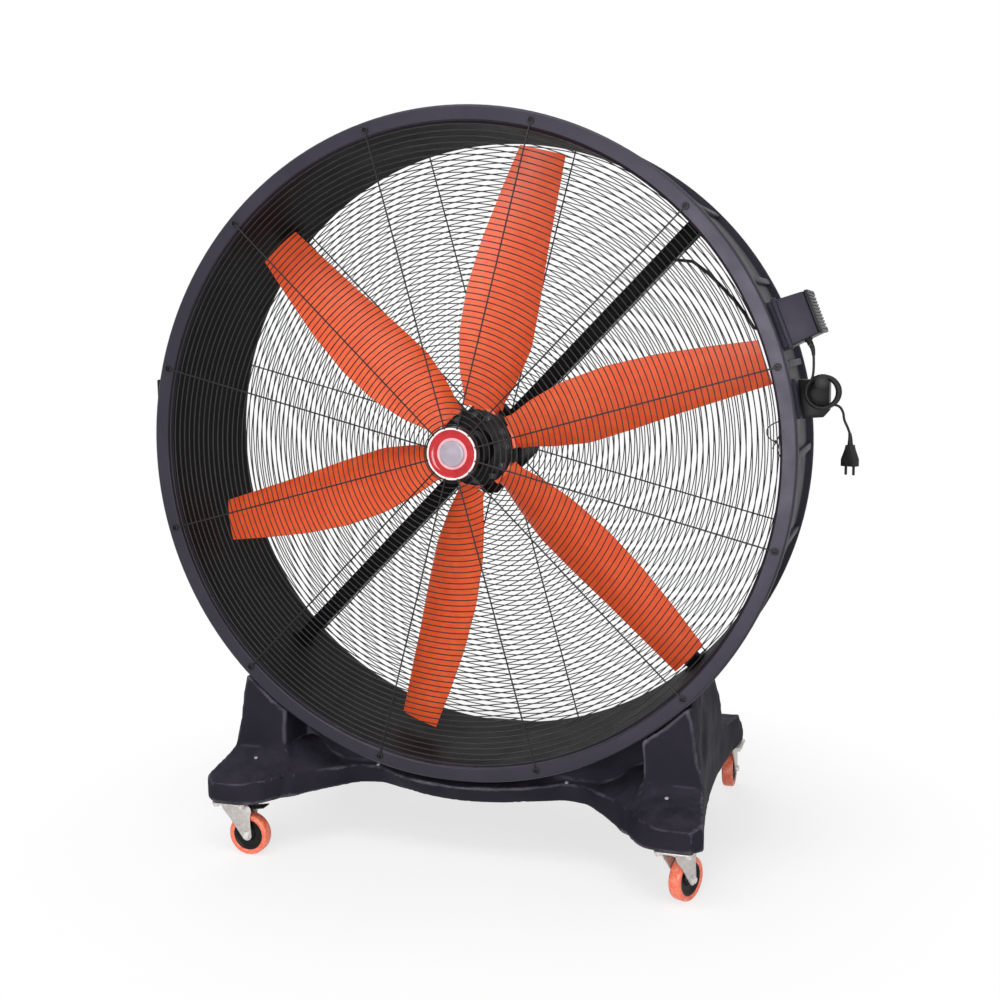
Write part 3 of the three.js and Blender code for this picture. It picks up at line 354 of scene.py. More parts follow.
# The base alone takes the painted edge and fold highlights.
BASE_POLYETHYLENE = rotomoulded_polyethylene("base", 0.035, 0.56, 0.65)
INNER_WALL_PAINTED_SHADE = painted_shade_polyethylene()
WIRE_COAT = powder_coated_wire()
BLADE_NYLON = moulded_blade_nylon()
CASTING = painted_casting()
BAR_ENAMEL = painted_casting("matt_enamelled_bar", 0.05, 0.5)
ZINC = zinc_plated_steel()
SHAFT_STEEL = turned_steel()
POLYURETHANE = polyurethane_tyre()
BLACK_PP = black_polypropylene()
LID_FIN = black_polypropylene("lid_fin_polypropylene", "#3c3a43", "#2c2a32")
BADGE_RED = lacquered("red_lacquer", "#b3161f", "#981019")
BADGE_BLOOM = lacquered("pale_red_lacquer", "#dba9b0", "#cf8f97", 0.3)
BADGE_WHITE = lacquered("pink_white_lacquer", "#eedcdb", "#e0c6c6", 0.22)
BADGE_GREY = lacquered("grey_lacquer", "#9d949f", "#8e8691", 0.3)
RUBBER = rubber_sheath()
BOLT_ZINC = zinc_plated_steel("zinc_plated_fasteners", "#dcdad8", "#b7b4b1")
BLACK_OXIDE = zinc_plated_steel("black_oxide_fasteners", "#4a4a4e", "#2a2a2d")

# ---- mesh helpers
TURN = 2 * pi
Y_AXIS = Vector((0, 1, 0))


def finish_piece(name, bm, material, body, sharp=35):
    """A finished piece at the origin, smooth but for edges sharper than the angle."""
    mesh = mesh_of(name, bm)
    for one in material if isinstance(material, list) else [material]:
        mesh.materials.append(one)
    mesh.shade_smooth()
    mesh.set_sharp_from_angle(angle=radians(sharp))
    piece = in_scene(name, mesh)
    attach(piece, body)
    return piece


def outward(bm):
    bmesh.ops.remove_doubles(bm, verts=bm.verts, dist=1e-6)
    bmesh.ops.recalc_face_normals(bm, faces=bm.faces)


def facing(direction):
    """The turn that points +Z along a direction."""
    return direction.to_track_quat("Z", "Y").to_matrix().to_4x4()


def radial(deg):
    """The turn that points +X out along a radius."""
    return Matrix.Rotation(radians(-deg), 4, "Y")


def rounded(bm, edges, offset, segments=2, **more):
    """Rounds edges over that many millimetres."""
    bmesh.ops.bevel(bm, geom=edges, offset=offset * MM, segments=segments, profile=0.5,
                    affect="EDGES", material=-1, **more)


def edges_at(verts):
    return list({e for v in verts for e in v.link_edges})


def block(bm, place, size, edge, segments=2):
    """A cuboid of that size in millimetres, placed by a matrix, with rounded edges."""
    scale = Matrix.Diagonal((*(side * MM for side in size), 1.0))
    made = bmesh.ops.create_cube(bm, size=1.0, matrix=place @ scale)
    rounded(bm, edges_at(made["verts"]), edge, segments)


def merge(bm, other):
    """Adds another bmesh and frees it."""
    held = mesh_of("held", other)
    bm.from_mesh(held)
    bpy.data.meshes.remove(held)


def mirrored(half):
    """A closed profile from its first half, mirrored along the axis."""
    return half + [(r, -a) for r, a in reversed(half)] + half[:1]


def spin_profile(bm, profile, steps, centre, axis=Y_AXIS, start=Vector((1, 0, 0))):
    """Turns a closed or axis-to-axis profile of (radius, along) millimetres about an axis
    through centre."""
    closed = profile[0] == profile[-1]
    points = profile[:-1] if closed else profile
    verts = [bm.verts.new(centre + start * (r * MM) + axis * (a * MM)) for r, a in points]
    edges = [bm.edges.new((verts[i], verts[i + 1])) for i in range(len(verts) - 1)]
    if closed:
        edges.append(bm.edges.new((verts[-1], verts[0])))
    bmesh.ops.spin(bm, geom=verts + edges, cent=centre, axis=axis, angle=TURN, steps=steps,
                   use_merge=True)


def turned(name, profile, steps, centre, material, body, slot, sharp=35, **about):
    """A piece that is one turned profile."""
    bm = bmesh.new()
    spin_profile(bm, profile, steps, centre, **about)
    outward(bm)
    return finish_piece(name, bm, material, body, sharp)


def hoop(bm, radius, wire, y, steps, sides=6):
    """Adds one hoop of round wire about the drum's axis."""
    alone = bmesh.new()
    place = Matrix.Translation(at(radius, y, 0))
    bmesh.ops.create_circle(alone, segments=sides, radius=wire / 2 * MM, matrix=place)
    bmesh.ops.spin(alone, geom=alone.verts[:] + alone.edges[:], cent=at(0, y, 0), axis=Y_AXIS,
                   angle=TURN, steps=steps, use_merge=True)
    merge(bm, alone)


def rod(bm, start, end, diameter, sides=10):
    """A straight rod between two points; gives its vertices."""
    place = Matrix.Translation((start + end) / 2) @ facing(end - start)
    made = bmesh.ops.create_cone(bm, cap_ends=True, segments=sides, radius1=diameter / 2 * MM,
                                 radius2=diameter / 2 * MM, depth=(end - start).length,
                                 matrix=place)
    return made["verts"]


def loop_of_wire(bm, centre, radius, wire, axis, steps=20, sides=8):
    """A small closed loop of wire about an axis."""
    side = axis.orthogonal().normalized()
    turn = Matrix((side, side.cross(axis), axis)).transposed().to_4x4()
    start = centre + side * radius * MM
    ring = Matrix.Translation(start) @ turn @ Matrix.Rotation(pi / 2, 4, "X")
    made = bmesh.ops.create_circle(bm, segments=sides, radius=wire / 2 * MM, matrix=ring)
    bmesh.ops.spin(bm, geom=made["verts"] + edges_at(made["verts"]), cent=centre, axis=axis,
                   angle=TURN, steps=steps, use_merge=True)


def hex_bolt(bm, foot, axis, across, height, washer=0.0):
    """A hexagon head with a chamfer, on a washer if it has one."""
    base = foot
    if washer:
        base = foot + axis * (1.2 * MM)
        rod(bm, foot, base, washer, 24)
    head = rod(bm, base, base + axis * (height * MM), across, 6)
    far = {v for v in head if (v.co - base).dot(axis) > height * 0.9 * MM}
    rounded(bm, [e for e in bm.edges if set(e.verts) <= far], across * 0.06)


def solid_of(node):
    """A copy of a CAD node's mesh with its doubles merged."""
    bm = bmesh.new()
    bm.from_mesh(NODES[node].data)
    bmesh.ops.remove_doubles(bm, verts=bm.verts, dist=2e-5)
    return bm


def from_node(name, node, material, body, bevel=0.0, segments=2, sharp=35):
    """A CAD node's solid with its flat faces whole and its edges rounded. It stands for
    that node."""
    flat, corner = radians(1), radians(30)
    bm = solid_of(node)
    bmesh.ops.dissolve_limit(bm, angle_limit=flat, verts=bm.verts, edges=bm.edges)
    if bevel:
        edges = [e for e in bm.edges if len(e.link_faces) == 2 and e.calc_face_angle(0) > corner]
        rounded(bm, edges, bevel, segments, clamp_overlap=True)
    piece = finish_piece(name, bm, material, body, sharp)
    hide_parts(node)
    return piece


def smoothed(bm, verts, rounds):
    for _ in range(rounds):
        bmesh.ops.smooth_vert(bm, verts=verts, factor=0.5,
                              use_axis_x=True, use_axis_y=True, use_axis_z=True)


def melted(node, voxel, sculpt):
    """A node's solid in small even faces, sculpted, its edges melted round as a hot mould
    leaves them."""
    merged, melt_rounds, calm_rounds, calm_angle = 1.3, 6, 16, radians(14)
    held = mesh_of("held", solid_of(node))
    lump = in_scene("held", held)
    even = lump.modifiers.new("even", "REMESH")
    even.mode = "VOXEL"
    even.voxel_size = voxel * MM
    graph = bpy.context.evaluated_depsgraph_get()
    mesh = bpy.data.meshes.new_from_object(lump.evaluated_get(graph))
    bpy.data.objects.remove(lump)
    bpy.data.meshes.remove(held)
    bm = bmesh.new()
    bm.from_mesh(mesh)
    bpy.data.meshes.remove(mesh)
    for v in bm.verts:
        x, y, z = (v.co - OFFSET) / MM
        v.co = Vector(sculpt(x, y, z)) * MM + OFFSET
    bmesh.ops.remove_doubles(bm, verts=bm.verts, dist=merged * MM)
    smoothed(bm, bm.verts, melt_rounds)
    # What is nearly flat is flattened further, and the rounded edges stay as they are.
    calm = [v for v in bm.verts if max(e.calc_face_angle(0) for e in v.link_edges) < calm_angle]
    smoothed(bm, calm, calm_rounds)
    return bm


def dress(node, material):
    """Gives a CAD node that stays its finish."""
    slots = NODES[node].data.materials
    slots.clear()
    slots.append(material)


# ---- camera, light and floor
# The photograph's place: from the flange's centre, 20.2 degrees to the right of the drum's
# axis and 5.3 above it.
CAMERA_AT, CAMERA_AIM = (1.0306, -3.1165, 1.2419), (0.1132, -0.3098, 0.8633)
ROLL_DEG, LENS_MM, SENSOR_MM = -0.67, 47.63, 36.0


def aimed(place, aim):
    """Upright at a place, looking along -Z at another."""
    look = (Vector(aim) - Vector(place)).to_track_quat("-Z", "Y")
    return Matrix.Translation(Vector(place)) @ look.to_matrix().to_4x4()


def camera():
    data = bpy.data.cameras.new("photo_camera")
    data.sensor_width, data.lens = SENSOR_MM, LENS_MM
    placed = in_scene("photo_camera", data)
    roll = Matrix.Rotation(radians(ROLL_DEG), 4, "Z")
    placed.matrix_world = aimed(CAMERA_AT, CAMERA_AIM) @ roll
    bpy.context.scene.camera = placed


def softbox(name, place, aim, width, height, power):
    data = bpy.data.lights.new(name, "AREA")
    data.shape = "RECTANGLE"
    data.size, data.size_y, data.energy = width, height, power
    in_scene(name, data).matrix_world = aimed(place, aim)


def white_where_seen(tree):
    """1 for the camera, mirrors and glass, and 0 for plain light."""
    path = add(tree, "ShaderNodeLightPath").outputs
    seen = path["Is Camera Ray"]
    for ray in ("Is Glossy Ray", "Is Transmission Ray"):
        seen = add(tree, "ShaderNodeMath", {0: seen, 1: path[ray]}, operation="MAXIMUM").outputs[0]
    return seen


def world():
    """White to look at, and a plain even light of a lower level."""
    made = bpy.data.worlds.new("studio")
    made.use_nodes = True
    tree = made.node_tree
    tree.nodes.clear()
    level = remap(tree, white_where_seen(tree), 0.0, 1.0, 0.42)
    back = add(tree, "ShaderNodeBackground", {"Color": (1, 1, 1, 1), "Strength": level})
    add(tree, "ShaderNodeOutputWorld", {"Surface": back.outputs[0]})
    bpy.context.scene.world = made


def floor():
    """A pale floor that keeps the fan's soft shadow and turns plain white away from it."""
    made = Finish("pale_floor")
    made.colour(made.noise(900, 2), (0.3, "#f4f4f4"), (0.7, "#fbfbfb"))
    made.gloss(0.2)
    made.fixed(Roughness=0.8)
    tree = made.tree
    glow = add(tree, "ShaderNodeEmission", {"Color": (1, 1, 1, 1), "Strength": 1.0})
    away = add(tree, "ShaderNodeVectorMath", {0: made.where}, operation="LENGTH")
    white = remap(tree, away.outputs["Value"], 0.55, 1.35, 0.7, 1.0,
                  interpolation_type="SMOOTHSTEP")
    share = times(tree, white_where_seen(tree), white)
    mix = add(tree, "ShaderNodeMixShader", {
        "Fac": share, 1: made.shader.outputs[0], 2: glow.outputs[0],
    })
    tree.links.new(mix.outputs[0], made.output.inputs["Surface"])
    bm = bmesh.new()
    just_below = Matrix.Translation((0, 0, -0.0005))
    bmesh.ops.create_grid(bm, x_segments=1, y_segments=1, size=14.0, matrix=just_below)
    mesh = mesh_of("floor", bm)
    mesh.materials.append(made.material)
    ground = in_scene("floor", mesh)


bpy.context.scene.view_settings.view_transform = "Standard"
camera()
world()
floor()
softbox("key_front", (0.6, -4.3, 1.2), (0.0, -0.1, 0.95), 1.7, 2.0, 112)
softbox("top_front", (0.1, -1.7, 3.6), (0.0, -0.1, 0.7), 2.8, 1.4, 50)
softbox("strip_right", (3.0, -2.4, 1.5), (0.4, -0.1, 0.9), 0.6, 2.0, 12)
softbox("rear_fill", (-1.5, 3.0, 2.6), (0.0, 0.0, 0.9), 2.5, 2.0, 40)

# ---- supply cord, repeated from the source's route
def ease(value, low, high):
    """Smooth step from 0 to 1; runs down where low is above high."""
    t = min(1.0, max(0.0, (value - low) / (high - low)))
    return t * t * (3 - 2 * t)


CORD_D = 5.5
COIL_R, COIL_PITCH, COIL_Y = 33, 6.2, 52.05
COIL_START, COIL_TURNS, COIL_STEPS = 150, 7 + 135 / 360, 236
COIL_CENTRE = Vector((812, 0, 140.05))
# Gap from the coil's ends to the next stretch, and drop from its centre to the plug.
JOINT_GAP, HANG = 0.3, 114


def coil_point(turn):
    """Loops thrown over the hook by hand: none is quite the last one's size or place."""
    a = radians(COIL_START + 360 * turn)
    loose = ease(turn, 0, 1.2) * ease(turn, COIL_TURNS, COIL_TURNS - 1.2)
    r = COIL_R + loose * (1.5 * sin(4.1 * turn) - 1.5 * cos(2.3 * turn))
    drop = loose * 1.6 * sin(2.9 * turn + 1)
    along = COIL_Y + COIL_PITCH * turn
    return COIL_CENTRE + Vector((r * cos(a) + drop, along, r * sin(a) - abs(drop)))


def coil_heading(turn):
    a = radians(COIL_START + 360 * turn)
    rise = COIL_PITCH / (TURN * COIL_R)
    return Vector((-sin(a), rise, cos(a))).normalized()


def smooth_route(points, between):
    """Points on the centripetal curve through the route's points, as in the source."""
    first = points[0] * 2 - points[1]
    last = points[-1] * 2 - points[-2]
    held = [first, *points, last]
    route = []
    for i in range(len(points) - 1):
        p0, p1, p2, p3 = held[i:i + 4]
        d0, d1, d2 = (max((b - a).length ** 0.5, 1e-6) for a, b in ((p0, p1), (p1, p2), (p2, p3)))
        m1 = ((p1 - p0) / d0 - (p2 - p0) / (d0 + d1) + (p2 - p1) / d1) * d1
        m2 = ((p2 - p1) / d1 - (p3 - p1) / (d1 + d2) + (p3 - p2) / d2) * d1
        for k in range(between):
            t = k / between
            route.append(p1 * (2 * t**3 - 3 * t**2 + 1) + m1 * (t**3 - 2 * t**2 + t)
                         + p2 * (3 * t**2 - 2 * t**3) + m2 * (t**3 - t**2))
    return route + [points[-1]]


def cord_route():
    """Gland, lead, coil on the hook and free end, in millimetres from the flange."""
    into, out_of = coil_heading(0), coil_heading(COIL_TURNS)
    first = coil_point(0) - into * CORD_D
    last = coil_point(COIL_TURNS) + out_of * CORD_D
    to = first - into * JOINT_GAP
    before = to - into * 12
    bow = before.lerp(GLAND_END, 0.5) + Vector((COIL_R / 8, 0, 0))
    lead = smooth_route([GLAND_END, GLAND_END + GLAND_OUT * 8, bow, before, to], 5)
    turns = [coil_point(COIL_TURNS * i / COIL_STEPS) for i in range(COIL_STEPS + 1)]
    start = last + out_of * JOINT_GAP
    stop = COIL_CENTRE.z - HANG
    x, y, z = start
    # How far out from the coil and along the drum, and the height.
    ups = [(20, 2, z - 3), (27, 3, z - 15), (30, 4, z - 31), (37, 5, z - 47),
           (42, 6, stop + 22), (43, 6, stop + 9), (43, 6, stop)]
    hanging = [Vector((x + a, y + b, c)) for a, b, c in ups]
    return lead + turns + smooth_route([start, start + out_of * 7, *hanging], 5)


# The control box that the gland is under, and the drum's outer wall that carries it.
BOX_DEG, BOX_TAPER, BOX_HALF, BOX_OUT, BODY_R = 21.3, 7, 54, 846, 756
# How far the gland sits in from the box's outer face, and its length.
GLAND_IN, GLAND_LONG = 26, 14.3


def gland_place():
    """Where the gland leaves the box's tapered side, and which way it points."""
    r = BOX_OUT - GLAND_IN
    half = BOX_HALF - BOX_TAPER * ((r - BODY_R) / (BOX_OUT - BODY_R))
    a, b = radians(BOX_DEG), radians(BOX_DEG + 90)
    x = r * cos(a) - half * cos(b)
    z = r * sin(a) - half * sin(b)
    slope = atan2(BOX_TAPER, BOX_OUT - BODY_R)
    c = radians(BOX_DEG - 90) + slope
    return Vector((x, COIL_Y, z)), Vector((cos(c), 0, sin(c)))


GLAND_AT, GLAND_OUT = gland_place()
GLAND_END = GLAND_AT + GLAND_OUT * GLAND_LONG


def supply_cord():
    points = [at(*p) for p in cord_route()]
    curve = bpy.data.curves.new("supply_cord", "CURVE")
    curve.dimensions = "3D"
    curve.bevel_depth = CORD_D / 2 * MM
    curve.bevel_resolution = 3
    curve.use_fill_caps = True
    line = curve.splines.new("POLY")
    line.points.add(len(points) - 1)
    for spot, p in zip(line.points, points):
        spot.co = (*p, 1.0)
    curve.materials.append(RUBBER)
    cord = in_scene("supply_cord", curve)
    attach(cord, "frame")
    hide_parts("cord_lead", "cord_coil", "cord_tail")
    length = sum((b - a).length for a, b in zip(points, points[1:]))
    print(f"supply cord: {length:.3f} m")
    return cord, points


def strain_relief(name, route, start_d, end_d, length):
    """A tapered rubber sleeve with rings, round the first stretch of a route."""
    bm = bmesh.new()
    steps, ridge = 12, 0.7
    gone, rings, k = 0.0, [], 0
    step = length / steps
    for a, b in zip(route, route[1:]):
        piece = (b - a).length / MM
        while gone + piece >= k * step and k <= steps:
            spot = a.lerp(b, (k * step - gone) / piece)
            d = start_d + (end_d - start_d) * k / steps + (ridge if k % 2 else 0.0)
            place = Matrix.Translation(spot) @ facing(b - a)
            ring = bmesh.ops.create_circle(bm, segments=16, radius=d / 2 * MM, matrix=place)
            rings.append(ring["verts"])
            k += 1
        gone += piece
    bmesh.ops.bridge_loops(bm, edges=bm.edges[:])
    for ring in (rings[0], rings[-1]):
        bm.faces.new(ring)
    outward(bm)
    return finish_piece(name, bm, RUBBER, "frame", 60)


cord, cord_points = supply_cord()
gland_relief = strain_relief("gland_strain_relief", cord_points, 11.0, 6.6, 24)
plug_relief = strain_relief("plug_strain_relief", cord_points[::-1], 11.5, 6.6, 24)
plug = from_node("mains_plug", "plug", RUBBER, "frame", bevel=1.2, segments=3)
from_node("cord_gland_nut", "cord_gland", BLACK_PP, "frame", bevel=0.6)

# ---- drum
DRUM_R, DRUM_DEPTH, MOUTH_R, THROAT_R = 770, 394, 736, 731
FRONT_RIM, REAR_RIM, RIM_ROUND, RIB_STEP_DEG = 30, 26, 6, 15


def arc(cx, cy, r, start, stop, steps=5):
    """Points of a quarter round, as (radius, along)."""
    angles = [radians(start + (stop - start) * i / steps) for i in range(steps + 1)]
    return [(cx + r * cos(a), cy + r * sin(a)) for a in angles]


def drum_profile():
    """Section of the moulded ring: two flanges with rounded rims and a straight throat."""
    e, end = RIM_ROUND, DRUM_DEPTH - REAR_RIM
    front = [(MOUTH_R + 2, 0.0), *arc(DRUM_R - e, e, e, -90, 0), (DRUM_R, FRONT_RIM - 4),
             (DRUM_R - 3, FRONT_RIM)]
    fillet = [(BODY_R + 5, 1.5), (BODY_R + 1, 6), (BODY_R, 12)]
    wall = [(r, FRONT_RIM + a) for r, a in fillet] + [(r, end - a) for r, a in reversed(fillet)]
    rear = [(DRUM_R - 3, end), (DRUM_R, end + 4), *arc(DRUM_R - e, DRUM_DEPTH - e, e, 0, 90),
            (MOUTH_R + 2, DRUM_DEPTH)]
    mouth = [(MOUTH_R, 2.0), (MOUTH_R, 14.0), (THROAT_R, 20.0)]
    inner = [(r, DRUM_DEPTH - a) for r, a in mouth] + mouth[::-1] + [(MOUTH_R + 2, 0.0)]
    return front + wall + rear + inner


def wall_block(bm, deg, r0, r1, y0, y1, half, edge):
    """A rounded raised block on the drum's outer wall, square to its radius."""
    middle = polar((r0 + r1) / 2, deg, (y0 + y1) / 2)
    size = (r1 - r0, y1 - y0, 2 * half)
    block(bm, Matrix.Translation(middle) @ radial(deg), size, edge, 3)


def drum():
    """The ring, polished in front and painted near black inside as shade, with its ribs and the
    lug's boss.
    """
    polished, lip = 5.0, 18.0
    bm = bmesh.new()
    spin_profile(bm, drum_profile(), 192, at(0, 0, 0))
    outward(bm)
    for face in bm.faces:
        x, y, z = (face.calc_center_median() - at(0, 0, 0)) / MM
        if y < polished:
            face.material_index = 2
        # The wall inside the throat takes the near-black painted shade.
        elif lip < y < DRUM_DEPTH - lip and hypot(x, z) < MOUTH_R + 4:
            face.material_index = 1
    finishes = [WALL_POLYETHYLENE, INNER_WALL_PAINTED_SHADE, FLANGE_POLYETHYLENE]
    piece = finish_piece("drum_moulding", bm, finishes, "frame")
    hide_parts("drum_shell")
    ribs = bmesh.new()
    end = DRUM_DEPTH - REAR_RIM + 1
    for deg in range(-30, 211, RIB_STEP_DEG):
        wall_block(ribs, deg, BODY_R - 5, DRUM_R - 4, FRONT_RIM - 1, end, 8, 3)
    # The boss in front of the cord's lug.
    wall_block(ribs, 9.4, BODY_R - 5, DRUM_R + 6, FRONT_RIM + 1, 101, 42, 4)
    finish_piece("drum_wall_ribs", ribs, WALL_POLYETHYLENE, "frame")


drum()

# ---- base
# Plan of the skirt, as (distance from the middle, y): the solid's front, where the real
# skirt's top edge runs, and where its bottom edge runs, set back under it.
SOLID_FRONT = [(0, 28), (70, 40), (143, 58), (205, 86), (262, 104), (324, 82), (370, 52),
               (406, 20), (432, -50), (450, -110), (466, -136), (600, -136)]
SKIRT_TOP = [(0, -6), (75, 2), (150, 26), (195, 60), (232, 86), (265, 88), (300, 66), (340, 36),
             (378, 4), (430, -60), (466, -108), (500, -133), (520, -136), (600, -136)]
SKIRT_FOOT = [(0, 38), (50, 42), (83, 49), (116, 60), (160, 80), (208, 100), (235, 107),
              (264, 102), (302, 76), (335, 44), (372, -10), (411, -70), (444, -112),
              (470, -128), (500, -135), (520, -136), (600, -136)]
# How far the sides stand out past the solid's waist, by y.
WAIST_EASE = [(-110, 0), (-67, 6), (-10, 11), (60, 12), (145, 16), (247, 19), (319, 14),
              (380, 12), (433, 9), (499, 9), (586, 6), (688, 3), (724, 0)]
# Heights from the floor: the base's underside, and the shelf behind the skirt's top edge.
UNDERSIDE, SHELF = 132, 184
# The skirt's height, how far back its lean dies out, and its top's gap under the drum.
SKIRT_HIGH, SKIRT_REACH, DRUM_GAP = 50, 175, 14
# The legs' fronts: their moves forward and in to the drum's axis, and where this dies out.
LEG_FORWARD, LEG_IN, RIM_NEAR, RIM_FAR = 11, 7, 781, 812
AXIS_UP = AXIS_Z / MM


def looked_up(table, place):
    """Straight-line look-up in (place, value) pairs."""
    if place <= table[0][0]:
        return table[0][1]
    for (p0, v0), (p1, v1) in zip(table, table[1:]):
        if place <= p1:
            return v0 + (v1 - v0) * (place - p0) / (p1 - p0)
    return table[-1][1]


def evened(table, place, reach):
    """The look-up with its corners rounded over that reach."""
    return sum(looked_up(table, place + reach * k / 4) for k in range(-4, 5)) / 9


def shelf_height(far, y, z, goal):
    """Height of a point on top of the skirt, whose edge is at goal."""
    clear = AXIS_UP - sqrt(DRUM_R ** 2 - far ** 2) - DRUM_GAP - z
    if z <= SHELF - 5 or far >= 500 or clear <= 0:
        return z
    # Between the legs the skirt's top climbs towards the drum.
    climb = ease(y - goal, 12, 72) * (1 - ease(z, SHELF, 240)) * (1 - ease(far, 260, 380))
    z += min(clear, 46) * climb
    # Beside the legs it runs on as the front foot's slope.
    edge = looked_up(SKIRT_TOP, far)
    rise = min(0.5 * max(0.0, y - edge - 3), 3 + 0.38 * (y + 108), 57)
    slope = SHELF + rise * ease(far, 250, 440)
    if far < 470:
        z = max(z, slope)
    # The foot's inner corner is dressed down to the edge that runs on along the skirt.
    if far > 380 and y < -2 and z < 240:
        z = min(z, max(SHELF - 2, slope))
    return z


def base_sculpt(x, y, z):
    """Moves a point of the base, heights from the floor."""
    far = abs(x)
    front = looked_up(SOLID_FRONT, far)
    behind = y - front
    if far < 520 and behind < SKIRT_REACH:
        # The skirt leans from its foot line to its top line; up the legs that dies out.
        up = min(1.0, max(0.0, (z - UNDERSIDE) / SKIRT_HIGH))
        goal = evened(SKIRT_FOOT, far, 16) * (1 - up) + evened(SKIRT_TOP, far, 16) * up
        y += (goal - front) * ease(z, 262, 206) * (1 - max(0.0, behind) / SKIRT_REACH)
        z = shelf_height(far, y, z, goal)
    # The sides swell, and higher up at the rear.
    if far > 480:
        rear = ease(y, 60, 200)
        low = ease(z, 300 + 100 * rear, 235 + 65 * rear)
        x += copysign(evened(WAIST_EASE, y, 60) * low * ease(far, 480, 535), x)
    # The legs' fronts stand level with the flange and close on its rim.
    out = hypot(x, z - AXIS_UP)
    if z > 205 and y < 50 and far > 430:
        lift = ease(z, 205, 240) * ease(y, 46, 14)
        y -= LEG_FORWARD * lift
        if out < RIM_FAR:
            shrink = LEG_IN * (1 - ease(out, RIM_NEAR, RIM_FAR)) * lift
            x -= x / out * shrink
            z += (AXIS_UP - z) / out * shrink
    return x, y, z


def base_plugs():
    """Small vent plugs in the foot slopes and at the skirt's top edge."""
    bm = bmesh.new()
    size = Matrix.Diagonal((5 * MM, 5 * MM, 2.6 * MM, 1))
    for x, y, z, lean in ((504, -38, 219.5, 0.33), (240, 96, SHELF, 0.5)):
        for side in (-1, 1):
            spot = Vector((x * side, y, z)) * MM + OFFSET
            place = Matrix.Translation(spot) @ facing(Vector((0, -lean, 1)).normalized()) @ size
            bmesh.ops.create_uvsphere(bm, u_segments=16, v_segments=8, radius=1.0, matrix=place)
    finish_piece("base_vent_plugs", bm, BADGE_GREY, "frame")


def base():
    bm = melted("pedestal_base", 5.2, base_sculpt)
    piece = finish_piece("base_moulding", bm, BASE_POLYETHYLENE, "frame", 60)
    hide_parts("pedestal_base")


base()
base_plugs()

# ---- guards
PITCH, OUTER_RING, CUP_R, WIRE, SPOKE = 13, 728, 63, 2.7, 3.8
SPOKE_DEG = [15 + 30 * i for i in range(12)]
EYE_R = 751


def hoops(bm, y):
    """Every ring of a guard, 13 mm apart."""
    radius = OUTER_RING
    while radius > CUP_R + 4:
        steps = 60 if radius < 200 else 96 if radius < 450 else 132
        hoop(bm, radius, WIRE, y, steps)
        radius -= PITCH
    hoop(bm, CUP_R + 3.5, WIRE, y, 60)


def guard(name, node, side):
    """Rings, spokes and centre cup of a guard; side is -1 in front and 1 behind."""
    face = -0.3 if side < 0 else DRUM_DEPTH + 0.3
    bm = bmesh.new()
    hoops(bm, face - side * (WIRE / 2 - 0.3))
    outward(bm)
    rings = finish_piece(name + "_rings", bm, WIRE_COAT, "frame", 80)
    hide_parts(node)
    bm = bmesh.new()
    y = face + side * SPOKE / 2
    for deg in SPOKE_DEG:
        rod(bm, polar(CUP_R - 5, deg, y), polar(EYE_R - 7, deg, y), SPOKE - 0.2)
        loop_of_wire(bm, polar(EYE_R, deg, y), 6.5, SPOKE - 0.4, Y_AXIS)
    finish_piece(name + "_spokes", bm, WIRE_COAT, "frame", 50)
    bm = bmesh.new()
    for deg in SPOKE_DEG:
        hex_bolt(bm, polar(EYE_R, deg, face), Vector((0, side, 0)), 7, 3.4)
    finish_piece(name + "_screws", bm, CASTING, "frame")
    cup = [(0, 8), (60.6, 8), (61.2, 7), (61.2, -1.8), (CUP_R, -1.8), (CUP_R, 8),
           (CUP_R - 3, 11), (0, 11)]
    turned(name + "_cup", [(r, a * -side) for r, a in cup], 72, at(0, face, 0), CASTING,
           "frame", "guard_wire", 40)


guard("front_guard", "front_grille", -1)
guard("rear_guard", "rear_grille", 1)


def tie_wire():
    """A thin tie looped and knotted on the front guard's outer ring, right of the hub."""
    loop = [(733, 5, 82), (721, -4, 78), (712, -6, 72), (707, -6, 66), (706, -6, 57),
            (709, -6, 49), (716, -6, 43), (723, -5, 39)]
    short_end = [(718, -7, 24), (721, -6, 31), (725, -5, 38), (729, -3, 47), (733, 3, 57)]
    long_end = [(724, -5, 40), (730, -6, 31), (728, -5, 21), (733, 4, 7)]
    tie, lean = 2.6, Vector((0.3, 0.1, 1)).normalized()
    bm = bmesh.new()
    for strand in (loop, short_end, long_end):
        points = [at(*p) for p in smooth_route([Vector(p) for p in strand], 4)]
        for a, b in zip(points, points[1:]):
            rod(bm, a, b, tie, 8)
        for spot in points[1:-1]:
            bmesh.ops.create_icosphere(bm, subdivisions=2, radius=tie / 2 * MM,
                                       matrix=Matrix.Translation(spot))
    for turn in range(3):
        loop_of_wire(bm, at(725, -5.5, 36.5 + 2.4 * turn), 2.2, 2.4, lean, 14, 8)
    finish_piece("guard_tie_wire", bm, WIRE_COAT, "frame", 60)


tie_wire()

